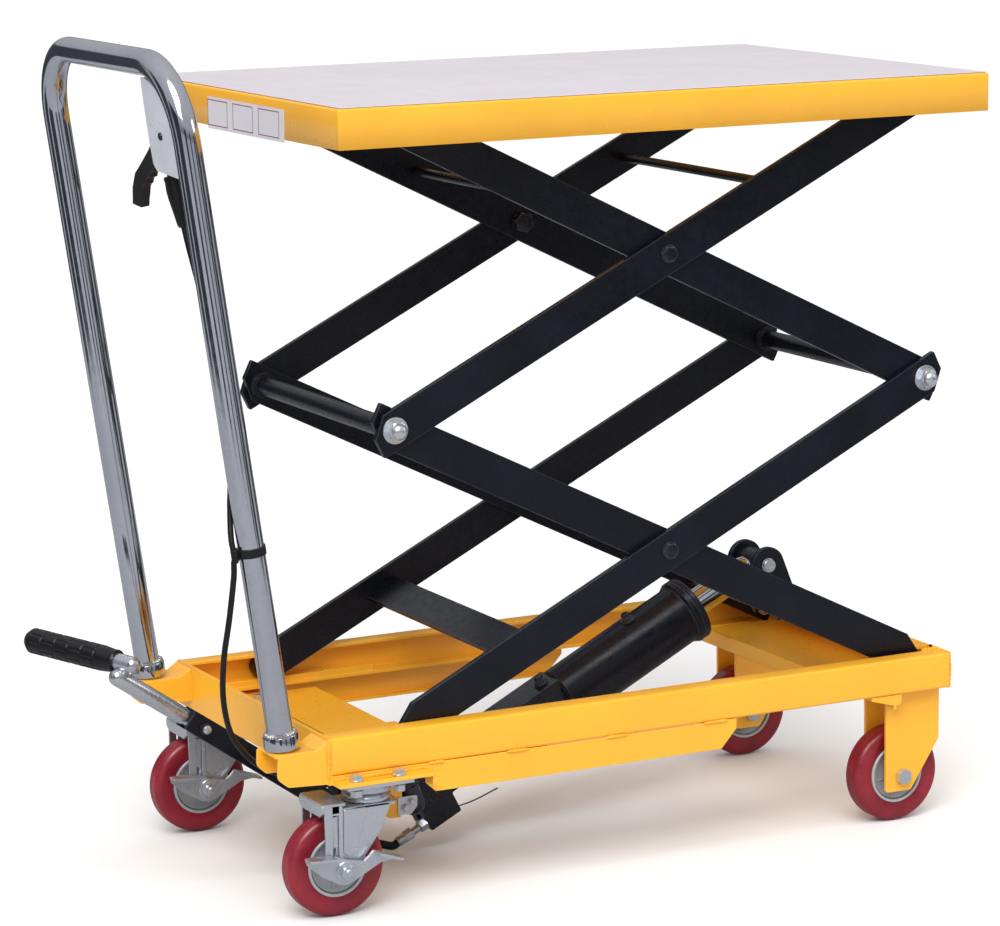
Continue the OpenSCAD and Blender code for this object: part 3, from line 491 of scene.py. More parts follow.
# middle joints: washer, hexagon and domed nut
for tag, xm in (("lower", CX - MX), ("upper", CX + MX)):
    b = Build()
    for s in (-1, 1):
        b.lathe([(6, 0.2), (16.2, 0.2), (16.6, 0.8), (16.6, 2.2), (16.1, 2.9), (6, 2.9)], (xm, s * 207, ZM), (0, s, 0), 56)
        b.hexa((xm, s * 209.9, ZM), (0, s, 0), 22, 9.5, 1.5, 0.3)
        dome = [(0, 8)] + [(10.3 * math.cos(t), 9.2 + 8.4 * math.sin(t)) for t in [i * math.pi / 2 / 10 for i in range(10)]] + [(0, 17.6)]
        b.lathe(dome, (xm, s * 209.9, ZM), (0, s, 0), 56)
        b.lathe([(0, -14), (7, -14), (7, 0.4), (0, 0.4)], (xm, s * 207, ZM), (0, s, 0), 32)
        if tag == "upper":
            b.lathe([(0, -17), (7, -17), (7, 23.5), (6, 24), (0, 24)], (XL, s * 207, ZT), (0, s, 0), 32)
        else:
            # lift pin with a small turned head on each ear
            b.lathe([(0, 0), (10, 0), (10, 33.2), (0, 33.2)], (289.0, 0, 321.0), (0, s, 0), 40)
            b.lathe([(0, 33.2), (8.8, 33.2), (9.2, 33.8), (9.2, 36.4), (8.4, 37.4), (3.2, 37.6), (2.6, 36.8), (0, 36.8)], (289.0, 0, 321.0), (0, s, 0), 40)
    b.make(f"{tag}_middle_domed_nuts", f"{tag}_inner_arms", "zinc", "zinc", 0.0, replaces=(f"{tag}_inner_pins",))
    b = Build()
    for s in (-1, 1):
        b.ring_bead((xm, s * 188.2, ZM), (0, 1, 0), 13.6, 3.4)
    b.make(f"{tag}_middle_tube_welds", "lower_inner_arms" if tag == "lower" else "upper_inner_arms", "weld_black", "black_paint")

# ------------------------------------------------------------------ wheels
WR = 63.5


def wheel(tag, x, y, body, side):
    b = Build()
    r = 9.0
    prof = [(38.7, -13.2), (42.0, -14.6), (WR - r, -16)]
    prof += [(WR - r + r * math.sin(t), -16 + r - r * math.cos(t)) for t in [i * math.pi / 2 / 7 for i in range(1, 8)]]
    prof += [(WR + 0.0, -1.2), (WR - 0.12, -0.5), (WR - 0.12, 0.5), (WR + 0.0, 1.2)]
    prof += [(WR - r + r * math.cos(t), 16 - r + r * math.sin(t)) for t in [i * math.pi / 2 / 7 for i in range(0, 8)]]
    prof += [(42.0, 14.6), (38.7, 13.2)]
    b.lathe(prof, (x, y, WR), (0, -1, 0), 128)
    b.make(f"tread_{tag}", body, "tread", "maroon_tread", replaces=(f"tyre_{tag}",))
    b = Build()
    rim = []
    for s in (1, -1):
        side_p = [(38.65, 12.4 * s), (38.5, 14.4 * s), (37.8, 15.2 * s), (35.6, 15.2 * s), (34.8, 14.4 * s), (34.4, 11.0 * s), (34.0, 7.5 * s)]
        rim += side_p if s > 0 else side_p[::-1]
    b.lathe(rim, (x, y, WR), (0, -1, 0), 96)
    b.make(f"hub_rim_{tag}", body, "hub", "grey_hub", replaces=(f"hub_{tag}",))
    b = Build()
    prof = [(6.05, 19.5), (11.0, 19.5), (11.6, 18.9), (11.8, 14.0), (13.5, 11.8), (24.0, 10.6), (29.5, 11.0), (31.6, 12.4), (33.0, 12.6), (33.5, 12.0), (33.6, 7.5)]
    prof = prof + [(a, -h) for a, h in prof[::-1]]
    b.lathe(prof, (x, y, WR), (0, -1, 0), 96)
    # moulded ribs and small raised marks with no lettering
    for s in (1, -1):
        for k in range(6):
            a = math.radians(60 * k + 15)
            c, sn = math.cos(a), math.sin(a)

            def tf(q, c=c, sn=sn):
                return (x + q[0] * c - q[2] * sn, q[1], WR + q[0] * sn + q[2] * c)
            b.prism([(12.5, -1.1), (24.0, -0.8), (29.0, -0.8), (29.0, 0.8), (24.0, 0.8), (12.5, 1.1)], y + s * 9.8, y + s * 12.1, "y", tf)
        for k in range(3):
            a = math.radians(-90 + (k - 1) * 11)
            b.lathe([(0, 0), (1.5, 0), (1.3, 1.0), (0, 1.1)], (x + 26.5 * math.cos(a), y + s * 10.6, WR + 26.5 * math.sin(a)), (0, s, 0), 12)
    b.make(f"hub_disc_{tag}", body, "hub_disc", "grey_hub", 0.25, 2)


AXR = -437.5
wheel("rear_near", AXR, -213, "wheel_rear_near", -1)
wheel("rear_far", AXR, 213, "wheel_rear_far", 1)
wheel("front_near", 381.2, -191.4, "wheel_front_near", -1)
wheel("front_far", 381.2, 191.4, "wheel_front_far", 1)


# ------------------------------------------------------------------ swivel casters
def caster(tag, yc, body, brake_body):
    X = AXR
    b = Build()
    # ball race: pressed cups
    b.lathe([(9.1, 139.4), (27, 139.4), (29.6, 140.6), (30.6, 143.0), (30.2, 146.2), (28.4, 148.6), (24.8, 150.4), (20, 151.6), (9.1, 151.6)], (-391.5, yc, 0), (0, 0, 1), 72)
    # fork crown
    crown = fillet([(X - 24, yc - 30), (X + 72, yc - 30), (X + 80, yc - 16), (X + 80, yc + 16), (X + 72, yc + 30), (X - 24, yc + 30)], 6)
    b.prism(crown, 135.4, 139.6, "z")
    # bulged legs, with a rolled edge towards the wheel's front
    for s in (-1, 1):
        leg = fillet([(X - 6, 137), (X - 8, 92), (X - 11, 58), (X - 5, 47.5), (X + 6, 47.5), (X + 13, 56), (X + 33, 80), (X + 52, 106), (X + 67, 139.5), (X + 20, 139.5)], 5)
        b.prism(leg, yc + s * 26, yc + s * 30)
        rib = fillet([(X + 2, 137.5), (X + 1, 84), (X + 8, 78), (X + 17, 84), (X + 34, 137.5)], 4)
        b.prism(rib, yc + s * 29.6, yc + s * 31.6)
    b.make(f"caster_fork_{tag}", body, "zinc", "zinc", 1.1, 3, replaces=(f"swivel_fork_{tag}",))
    # U bracket ahead of the fork that carries the brake
    b = Build()
    b.prism(fillet([(X - 27, yc - 34.6), (X + 4, yc - 34.6), (X + 4, yc + 34.6), (X - 27, yc + 34.6)], 3), 143.6, 147.4, "z")
    for s in (-1, 1):
        o0, o1 = yc + s * 31.8, yc + s * 34.6
        strip = [(X - 24.5, 145), (X - 24.5, 118), (X - 24, 70), (X - 21, 62), (X - 15, 62), (X - 14.2, 70), (X - 14.2, 135), (X - 6, 135), (X - 5.4, 70), (X - 4.6, 56), (X + 5, 56), (X + 5, 62), (X - 1, 72), (X - 1, 145)]
        b.prism(fillet(strip, 1.0, 2), o0, o1)
        b.prism([(X - 15, 145), (X - 15, 133), (X - 5, 133), (X - 5, 145)], o0, o1)
        # tab bent out of the slot
        tab = [(X - 13.6, 131), (X - 12.6, 92), (X - 6.6, 92), (X - 6.0, 131)]
        b.prism(tab, yc + s * 29.9, yc + s * 31.5)
    b.prism(fillet([(yc - 34.4, 146), (yc - 34.4, 137), (yc - 28, 133), (yc + 28, 133), (yc + 34.4, 137), (yc + 34.4, 146)], 3), X - 27.6, X - 24.4, "x")
    b.prism([(yc - 26, 131), (yc + 26, 131), (yc + 26, 134.4), (yc - 26, 134.4)], X - 27.4, X - 12, "x")
    b.make(f"caster_brake_bracket_{tag}", body, "zinc", "zinc", 0.8, 2)
    # axle bolt: hexagon head, washer, nut
    b = Build()
    b.lathe([(0, -36), (6, -36), (6, 36), (0, 36)], (X, yc, WR), (0, 1, 0), 32)
    b.hexa((X, yc + 34.8, WR), (0, 1, 0), 17, 7)
    b.lathe([(6, 34.7), (11.5, 34.7), (11.5, 36.2), (6, 36.2)], (X, yc, WR), (0, 1, 0), 40)
    b.make(f"caster_axle_{tag}", body, "zinc", "zinc")
    # double-wing brake lever pressed from one sheet
    b = Build()
    y1 = yc - 36.2
    lever = [(-54, 23), (-51, 14), (-33, -2), (-9.5, -15), (0, -17), (9, -14.5), (31, -3), (47, 5), (58, 6), (66, 6.5), (64, 11), (50, 15.5), (37, 21.5), (31, 15), (24, 9.5), (4, 13.5), (-16, 21), (-36, 23.2)]
    b.prism(fillet([(X + p, WR + q) for p, q in lever], 3.0, 3), y1 - 3.6, y1)
    # wings bent outwards as foot treads
    b.prism(fillet([(X - 54, WR + 23.5), (X - 53, WR + 19.6), (X - 17, WR + 18.2), (X - 16, WR + 21.6)], 0.8, 2), y1 - 19, y1 - 1.5)
    b.prism(fillet([(X + 36, WR + 22), (X + 39, WR + 17.5), (X + 50, WR + 13), (X + 69, WR + 7.6), (X + 70, WR + 10.8), (X + 52, WR + 17)], 0.8, 2), y1 - 20, y1 - 1.5)
    b.lathe([(7, -0.2), (13.5, -0.2), (13.5, 1.8), (12.6, 2.6), (7, 2.6)], (X, y1 - 3.6, WR), (0, -1, 0), 44)
    b.make(f"caster_brake_{tag}", brake_body, "zinc", "zinc", 0.7, 2, replaces=(f"brake_lever_{tag}",))
    b = Build()
    b.hexa((X, y1 - 6.2, WR), (0, -1, 0), 17, 6.4, 1.2, 0.5)
    b.lathe([(0, -6), (5, -6), (5, 8.2), (4.2, 9.0), (0, 9.0)], (X, y1 - 6.2, WR), (0, -1, 0), 28)
    b.make(f"caster_axle_nut_{tag}", body, "zinc", "zinc")


caster("near", -213, "swivel_near", "brake_near")
caster("far", 213, "swivel_far", "brake_far")

# ------------------------------------------------------------------ push handle
LEAN = math.radians(7.9)
HX, HZ, SY = -500.0, 214.0, 213.0


def hp(x_, y_, w_):
    """point in the leaned handle frame: x across the plane, y sideways, w up the leg"""
    return (HX + x_ * math.cos(LEAN) - w_ * math.sin(LEAN), y_, HZ + x_ * math.sin(LEAN) + w_ * math.cos(LEAN))


UP = (-math.sin(LEAN), 0, math.cos(LEAN))
b = Build()
for s in (-1, 1):
    b.lathe([(16.1, 3.2), (21.0, 3.2), (21.8, 4.0), (21.8, 18.5), (21.0, 20.0), (16.1, 20.0)], (HX, s * SY, HZ), UP, 64)
b.make("handle_socket_rings", "base", "chrome", "chrome", replaces=("handle_collars",))
b = Build()
for s in (-1, 1):
    o = Vector((HX, s * SY, HZ)) + Vector(UP) * 20.6
    b.ring_bead(o, UP, 17.6, 2.9, 150)
    o = Vector((HX, s * SY, HZ)) + Vector(UP) * 2.6
b.make("handle_socket_welds", "base", "weld_zinc", "chrome")

# bent chrome tube
LT = (1036 - HZ) / math.cos(LEAN)
path = [(-SY, 0.3), (-SY, 20)] + [(-SY, 20 + (LT - 110) * i / 12) for i in range(1, 13)]
for i in range(1, 25):
    t = math.pi - math.pi / 2 * i / 24
    path.append((-SY + 90 + 90 * math.cos(t), LT - 90 + 90 * math.sin(t)))
path += [(-SY + 90 + (2 * SY - 180) * i / 8, LT) for i in range(1, 8)]
path += [(-y_, w_) for y_, w_ in path[::-1][7:]]
b = Build()
b.sweep([hp(0, y_, w_) for y_, w_ in path], 16.0, 56, 1)
b.make("handle_bow", "base", "chrome", "chrome", 0, angle=50, replaces=("handle_tube",))

# pressed plate that fills the inside of the near bend, with a rolled inner edge
LTOP = (1036 - HZ) / math.cos(LEAN)
arc = []
cx_, cw_ = -SY + 90, LTOP - 90
for i in range(13):
    t = math.radians(180 - 7.5 * i)
    arc.append((cx_ + 74.4 * math.cos(t), cw_ + 74.4 * math.sin(t)))
plate = [(-197.0, LTOP - 131), (-197.0, LTOP - 92)] + arc + [(-123, LTOP - 17), (-121, LTOP - 40), (-119.5, LTOP - 90), (-121.5, LTOP - 119), (-130, LTOP - 127)]
b = Build()
tfh = lambda q: hp(q[0], q[1], q[2])
outl = [(y_, w_) for y_, w_ in plate]
b.prism(outl, -10.5, -7.5, "x", tfh)
b.prism(outl, 7.5, 10.5, "x", tfh)
rim = outl[-5:] + outl[:1]
b.prism([(-123, LTOP - 17), (-121, LTOP - 40), (-120.5, LTOP - 52), (-123.5, LTOP - 52), (-124, LTOP - 40), (-126, LTOP - 17)], -8, 8, "x", tfh)
b.prism([(-197, LTOP - 131), (-180, LTOP - 130), (-180, LTOP - 127), (-197, LTOP - 128)], -8, 8, "x", tfh)
b.make("lever_plate", "base", "silver", "zinc", 1.0, 3, replaces=("lever_housing",))
b = Build()
b.lathe([(0, -12.4), (4.2, -12.4), (4.8, -11.4), (4.8, 11.4), (4.2, 12.4), (0, 12.4)], hp(0, -160, LTOP - 83), (math.cos(LEAN), 0, math.sin(LEAN)), 28)
b.make("lever_pivot_pin", "base", "steel", "black_steel")

# hand lever: curved grip with finger notches
w0 = LTOP - 830
top = [(-158, 776), (-139, 771), (-123, 742), (-97.7, 724), (-68.5, 706.5), (-43.2, 692.1), (-27.3, 673.5), (-19, 652)]
bot = [(-46, 650), (-50.5, 659), (-57, 668)]
notch = []
path_n = [(-57, 668), (-72, 681), (-88, 690), (-104, 699), (-123, 708)]
for i in range(4):
    a, c = Vector(path_n[i]), Vector(path_n[i + 1])
    nrm_ = Vector((-(c - a).y, (c - a).x)).normalized()
    if nrm_.dot(Vector((0, 1))) < 0:
        nrm_ = -nrm_
    for k in range(1, 8):
        t = k / 8
        notch.append(tuple(a.lerp(c, t) + nrm_ * (3.0 * math.sin(math.pi * t))))
    notch.append(tuple(c))
outl = fillet(top, [6, 6, 4, 2, 4, 6, 6, 2], 3)[:-4] + [(-19, 652)] + bot + notch + [(-150, 722), (-172, 735), (-178, 755)]
b = Build()
b.prism([(p[0], p[1] + w0) for p in outl], -5.6, 5.6, "x", tfh)
b.make("finger_lever", "release_lever", "plastic", "black_plastic", 0.9, 2, replaces=("hand_lever",))

# tapered rubber boot and the sheathed cable down the near leg
b = Build()
p0, p1 = Vector(hp(0, -153, LTOP - 132)), Vector(hp(0, -161, LTOP - 193))
ax_ = (p1 - p0)
ln = ax_.length
b.lathe([(0, 0), (10.6, 0), (11.6, 1.0), (12.0, 4.0), (11.4, 6.5), (11.9, 16), (11.3, 26), (10.2, 34), (8.2, ln - 12), (7.4, ln - 4), (6.2, ln - 1), (5.4, ln), (0, ln)], p0, ax_, 40)
b.lathe([(3, -3.2), (7.2, -3.2), (7.2, 0.3), (3, 0.3)], p0, ax_, 32)
cable = [tuple(p1 - ax_.normalized() * 4), hp(0, -166, LTOP - 215), hp(1, -176, LTOP - 260), hp(3, -190, LTOP - 330), hp(3, -192.4, LTOP - 400), hp(0, -192.3, LTOP - 470), hp(-11, -195.2, LTOP - 525), hp(-20.3, -206, LTOP - 563), hp(-21.0, -213, LTOP - 586),
         (-557, -213, 450), (-557, -211, 430), (-561, -204, 380), (-566, -196, 330), (-564, -186, 280), (-552, -176, 235), (-532, -168, 205), (-508, -158, 183), (-480, -142, 166), (-440, -118, 150), (-400, -90, 140), (-372, -62, 136)]
b.sweep(cable, 3.6, 12, 8)
b.make("release_cable_sheath", "base", "rubber", "black_rubber", replaces=("release_cable",))
b = Build()
w_c = (456 - HZ) / math.cos(LEAN)
b.lathe([(16.15, 0), (17.6, 0), (17.6, 11), (16.15, 11)], hp(0, -SY, w_c), UP, 48)
b.lathe([(3.65, -1), (5.3, -1), (5.3, 12), (3.65, 12)], hp(-21, -SY, w_c), UP, 24)
b.make("cable_clip", "base", "plastic", "black_plastic", 0.3)

# ------------------------------------------------------------------ lift cylinder
CA = math.radians(26.9)
EX0, EZ0, CL = 289.0, 321.0, 556.0
PX0, PZ0 = EX0 - CL * math.cos(CA), EZ0 - CL * math.sin(CA)
AX = (math.cos(CA), 0, math.sin(CA))


def ap(a, y_, n_):
    """point in the cylinder's frame: along the axis, sideways, and up from the axis"""
    return (PX0 + a * math.cos(CA) - n_ * math.sin(CA), y_, PZ0 + a * math.sin(CA) + n_ * math.cos(CA))


tfa = lambda q: ap(q[0], q[1], q[2])
b = Build()
b.lathe([(27.1, 221), (37, 221), (40, 224), (40, 423), (42.0, 424.5), (43.4, 426), (44.8, 428), (44.8, 433.5), (43.2, 434.6), (43.2, 436.2), (44.8, 437.4), (44.8, 441), (43.6, 442.8), (27.1, 442.8)], (PX0, 0, PZ0), AX, 96)
b.lathe([(19.3, 431), (26.9, 431), (26.9, 445), (26.0, 446), (20.2, 446), (19.3, 445)], (PX0, 0, PZ0), AX, 72)
b.make("cylinder_tube", "cylinder", "black", "black_paint", 0, replaces=("lift_cylinder",))
b = Build()
for s in (-1, 1):
    # two cheeks round the base pin
    b.prism(fillet([(-24, -38.4), (24, -38.4), (24, -10), (42, -10), (42, 38.4), (-14, 38.4), (-24, 28)], 2.0, 2), *((-25, -8.4) if s < 0 else (8.4, 25)), "y", tfa)
b.prism(fillet([(40, -10), (84, -10), (102, -33), (226, -33), (228, -31), (228, 30), (222, 36), (40, 36)], 2.0, 2), -25, 25, "y", tfa)
b.lathe([(0, -27), (5.4, -27), (6, -26.2), (6, 26.2), (5.4, 27), (0, 27)], ap(0, 0, 0), (0, 1, 0), 32)
b.make("cylinder_base_block", "cylinder", "steel", "black_steel", 1.2, 3)
b = Build()
b.ring_bead(ap(424.4, 0, 0), AX, 40.6, 1.6, 110)
for s in (-1, 1):
    b.bead(ap(227, s * 24.6, -28), ap(227, s * 24.6, 28), 2.4)
b.make("cylinder_welds", "cylinder", "weld_black", "black_paint")
b = Build()
for a in (205, 352):
    o = Vector(ap(a, -6, 35.5 if a < 220 else 38.0))
    nn = Vector((-math.sin(CA), 0, math.cos(CA)))
    b.lathe([(0, -3), (8.2, -3), (8.2, 4.5), (7.4, 6.0), (5.8, 6.6), (5.8, 8), (0, 8)], o, nn, 40)
    b.hexa(o + nn * 8, nn, 10, 4.5, 0.9)
    b.ring_bead(o + nn * 1.6, nn, 8.3, 1.5, 50)
b.make("cylinder_port_plugs", "cylinder", "steel", "black_steel")
# chrome rod with its eye between the ears
b = Build()
b.lathe([(0, 150), (26.6, 150), (26.6, 168), (19, 168), (19, CL - 22), (17, CL - 14), (0, CL - 14)], (PX0, 0, PZ0), AX, 72)
b.make("ram_rod", "ram", "chrome", "chrome", 0, replaces=("lift_rod",))
b = Build()
b.lathe([(10.1, -24), (16.5, -24), (17.5, -23), (17.5, 23), (16.5, 24), (10.1, 24)], (EX0, 0, EZ0), (0, 1, 0), 64)
b.make("ram_rod_eye", "ram", "steel", "black_steel", 0)
# lift beam: square cross tube and two round-nosed ears
b = Build()
c_, s_ = math.cos(TH), math.sin(TH)


def inner_pt(u_, n_):
    return (CX - (c_ * u_ - s_ * n_), Z1 + s_ * u_ + c_ * n_)


sq = [inner_pt(-330, -16), inner_pt(-290, -16), inner_pt(-290, 16), inner_pt(-330, 16)]
b.prism(fillet(sq, 5, 4), -189.8, 189.8)
base_c = inner_pt(-310, 0)
d0 = (Vector(base_c) - Vector((EX0, EZ0))).normalized()
pv0 = Vector((-d0.y, d0.x))
ear = [tuple(Vector((EX0, EZ0)) + 24.5 * (pv0 * math.cos(t) - d0 * math.sin(t))) for t in [math.pi * (i / 24) for i in range(25)]]
ear += [tuple(Vector(base_c) - pv0 * 19 + d0 * 12), tuple(Vector(base_c) + pv0 * 19 + d0 * 12)]
for s in (-1, 1):
    b.prism(ear, *((-33, -25) if s < 0 else (25, 33)))
b.make("lift_ears", "lower_inner_arms", "black", "black_paint", 0.9, 3, replaces=("lift_beam",))
b = Build()
for s in (-1, 1):
    for n_ in (-16.5, 16.5):
        q0, q1 = inner_pt(-328, n_), inner_pt(-292, n_)
        b.bead((q0[0], s * 188.4, q0[1]), (q1[0], s * 188.4, q1[1]), 2.4)
    b.bead((base_c[0] - 12, s * 34, base_c[1] + 22), (base_c[0] + 18, s * 34, base_c[1] + 2), 2.4)
b.make("lift_beam_welds", "lower_inner_arms", "weld_black", "black_paint")
b = Build()
nn = Vector((-math.sin(CA), 0, math.cos(CA)))
axv = Vector(AX)
o = Vector(ap(-24, -16.6, -27))
b.hexa(o, -axv, 15, 11, 1.2)
b.lathe([(0, 10), (5.2, 10), (5.2, 24), (0, 24)], o, -axv, 28)
b.hexa(o - axv * 23, -axv, 14, 12, 1.2, 0.4)
b.lathe([(0, 34), (6.6, 34), (6.9, 35), (6.9, 44), (6.0, 46), (0, 46)], o, -axv, 32)
b.make("hose_fitting", "cylinder", "zinc", "zinc", 0)
b = Build()
q0 = o - axv * 42
b.sweep([tuple(q0), tuple(q0 - axv * 12), (-284, -16, 15.5), (-303, -15, 15), (-322, -14, 21)], 5.4, 18, 8)
b.make("hydraulic_hose_line", "cylinder", "rubber", "black_rubber", replaces=("hydraulic_hose",))
# thin wire from the block up under the skirt
b = Build()
b.sweep([ap(22, -26, -30), ap(45, -27, -36), ap(80, -28, -40.5)], 1.0, 8, 6)
b.make("cylinder_lock_wire", "cylinder", "steel", "black_steel")

# ------------------------------------------------------------------ pump under the rear floor
pu0, pu1 = bx("pump_unit")
b = Build()
b.prism(fillet([(-372, -26), (-300, -26), (-300, 26), (-372, 26)], 7, 4), 108, pu1[2] - 0.1, "z")
b.prism(fillet([(-366, -20), (-306, -20), (-306, 20), (-366, 20)], 5, 3), 101, 109, "z")
b.lathe([(9.2, 77), (17.6, 77), (19, 78.4), (19, 104), (16.6, 106), (16.6, 110), (9.2, 110)], (-325, 0, 0), (0, 0, 1), 48)
b.prism(fillet([(-372, 122), (-336, 122), (-336, 146), (-372, 146)], 4, 3), -62, -25)
b.prism(fillet([(-372, -62), (-212, -62), (-212, -38), (-372, -38)], 5, 3), 122, 146, "z")
b.lathe([(0, -26), (7, -26), (7, 23), (0, 23)], (-345, -52, 76), (0, 1, 0), 32)
b.make("pump_casting", "base", "steel", "black_steel", 1.2, 3, replaces=("pump_unit",))
b = Build()
dl = Vector((-0.33, 0, 0.94)).normalized()
b.lathe([(0, -16.2), (5.5, -15.6), (10.0, -13.2), (13.6, -9.4), (15.6, -4.6), (16.2, 0), (16.2, 26), (15.2, 27.4), (15.2, 30), (16.2, 31.4), (16.2, 62), (0, 62)], (-245.5, -42, 71.5), dl, 64)
b.make("pump_reservoir_cap", "base", "gloss", "black_steel")
b = Build()
b.prism(fillet([(-300, 122.5), (-300, 74), (-288, 60), (-272, 59), (-268.5, 63), (-268.5, 122.5)], [1, 5, 5, 3, 2, 1], 3), -57.4, -53.4)
b.make("pump_mount_tab", "base", "yellow", "yellow_paint", 0.8, 2)
b = Build()
b.prism(fillet([(-275, 63), (-275, 86), (-248, 86), (-248, 72), (-257, 62)], 3, 3), -59.5, -57)
for (x_, z_, af) in ((-264.5, 71, 9), (-256.5, 79, 7)):
    b.lathe([(0, -30), (af * 0.35, -30), (af * 0.35, -0.5), (af * 0.66, -0.5), (af * 0.66, 1.2), (0, 1.2)], (x_, -59, z_), (0, -1, 0), 32)
    b.hexa((x_, -60.2, z_), (0, -1, 0), af, 4.5, 0.9)
b.make("pump_mount_bolts", "base", "zinc", "zinc")

# ------------------------------------------------------------------ foot pedal
PV = Vector((-345.0, -55.0, 76.0))
PA = math.radians(35)
bd = Vector((-math.cos(PA), 0, math.sin(PA)))
bn = Vector((math.sin(PA), 0, math.cos(PA)))


def pp(a, y_, n_):
    q = PV + bd * a + bn * n_
    return (q.x, PV.y + y_, q.z)


GD = Vector((-0.4657, 0.8822, 0.0694)).normalized()
G0 = PV + bd * 368 + Vector((11.2, 0, 16))
b = Build()
end = [(0, 372 + 10.8)] + []
prof = [(0, 212), (8.9, 212), (8.9, 262), (10.9, 268), (10.9, 369)] + [(10.9 * math.cos(t), 369 + 10.9 * math.sin(t)) for t in [i * math.pi / 16 for i in range(1, 8)]] + [(0, 379.9)]
b.lathe(prof, PV, bd, 48)
prof = [(0, -19.6)] + [(10.9 * math.sin(t), -9 - 10.6 * math.cos(t)) for t in [i * math.pi / 16 for i in range(1, 8)]] + [(10.9, -9), (10.9, 149), (0, 149)]
b.lathe(prof, G0, GD, 48)
b.make("pedal_tube", "foot_pedal", "silver_tube", "zinc", replaces=("pedal_bar",))
b = Build()
m_ = G0 - GD * 4 - Vector((0, 0, 9.0))
for sgn in (-1, 1):
    side = GD.cross(Vector((0, 0, 1))).normalized() * sgn
    b.bead(m_ - GD * 10 + side * 6, m_ + GD * 10 + side * 6, 3.2)
b.make("pedal_tube_weld", "foot_pedal", "weld_zinc", "zinc")

pl0 = bx("pedal_lever")[0]
b = Build()
b.lathe([(0, -1), (5.6, -1), (5.6, 0.4), (4.9, 1.9), (3.2, 2.9), (0, 3.3)], pp(238, pl0[1] - PV.y, 0), (0, -1, 0), 32)
b.lathe([(0, -1), (5.6, -1), (5.6, 0.4), (4.9, 1.9), (3.2, 2.9), (0, 3.3)], pp(238, 20, 0), (0, 1, 0), 32)
b.make("pedal_tube_rivet", "foot_pedal", "zinc", "zinc")

# moulded grip: thick lip at the mouth, rows of raised pads, chamfered end
b = Build()
SEG, ROWS = 112, 150
u_ = GD.orthogonal().normalized()
v_ = GD.cross(u_)
vs, fs = [], []
L0, L1 = 14.0, 157.0


def grip_r(t, a):
    s = L0 + (L1 - L0) * t
    if s < 38:
        r = 13.5 + 2.5 * (s - 14) / 24
        if s < 19:
            r += 0.9 * max(0.0, math.sin(math.pi * (s - 14) / 5)) ** 0.5
        return r
    if s > 150:
        return 16 - 5.2 * (s - 150) / 7
    row = ((s - 41) / 21.4)
    k = int(math.floor(row))
    fx_ = row - k
    ang = (a / (2 * math.pi) * 8 + (0.5 if k % 2 else 0)) % 1
    dx = min(fx_, 1 - fx_) * 21.4
    dy = min(ang, 1 - ang) * 12.4
    e_ = min(dx, dy)
    if s > 147:
        return 16
    return 16 - 0.95 * (1 - min(1, max(0, (e_ - 0.9) / 0.9)))


for i in range(ROWS + 1):
    t = i / ROWS
    s = L0 + (L1 - L0) * t
    for k in range(SEG):
        a = 2 * math.pi * k / SEG
        r = grip_r(t, a)
        vs.append(G0 + GD * s + u_ * (r * math.cos(a)) + v_ * (r * math.sin(a)))
for i in range(ROWS):
    for k in range(SEG):
        fs.append((i * SEG + k, i * SEG + (k + 1) % SEG, (i + 1) * SEG + (k + 1) % SEG, (i + 1) * SEG + k))
c0 = len(vs)
for k in range(SEG):
    a = 2 * math.pi * k / SEG
    vs.append(G0 + GD * 14.4 + u_ * (11.0 * math.cos(a)) + v_ * (11.0 * math.sin(a)))
for k in range(SEG):
    vs.append(vs[c0 + k] + GD * 20)
cc = len(vs)
vs.append(G0 + GD * 34.4)
for k in range(SEG):
    j = (k + 1) % SEG
    fs.append((c0 + k, c0 + j, j, k))
    fs.append((c0 + SEG + k, c0 + SEG + j, c0 + j, c0 + k))
    fs.append((cc, c0 + SEG + j, c0 + SEG + k))
fs.append(tuple(ROWS * SEG + k for k in range(SEG)))
b.add(vs, fs)
b.make("grip_sleeve", "foot_pedal", "rubber", "black_rubber", angle=50, replaces=("pedal_grip",))

# ------------------------------------------------------------------ welds and small parts of the base
bb0, bb1 = bx("rail_near")
RT, RB = bb1[2], bb0[2]
XA, XB, HW = -446.0, 446.0, 237.5
FI = 209.5
for s, tag in ((-1, "near"), (1, "far")):
    b = Build()
    prof = [(s * HW, RB), (s * HW, RT), (s * FI, RT), (s * FI, RT - 4), (s * (HW - 5), RT - 4), (s * (HW - 5), RB + 5), (s * FI, RB + 5), (s * FI, RB)]
    b.prism(fillet(prof, [4.5, 4.5, 1.0, 0.6, 1.5, 1.5, 0.6, 1.0], 4), XA, XB - 5.1, "x")
    b.prism([(s * (HW - 5.2), RB + 4.6), (s * (HW - 5.2), 191.8), (s * (FI + 1.5), 191.8), (s * (FI + 1.5), RB + 4.6)], XA + 0.5, -180, "x")
    b.prism(fillet([(XR + 18, s * (FI + 1)), (XB - 5.2, s * (FI + 1)), (XB - 5.2, s * 185), (XR + 34, s * 185), (XR + 26, s * 192)], 2.0, 3), RT - 4, RT, "z")
    b.make(f"rail_channel_{tag}", "base", "yellow", "yellow_paint", 0.7, 2, replaces=(f"rail_{tag}",))
b = Build()
SK = 142.0
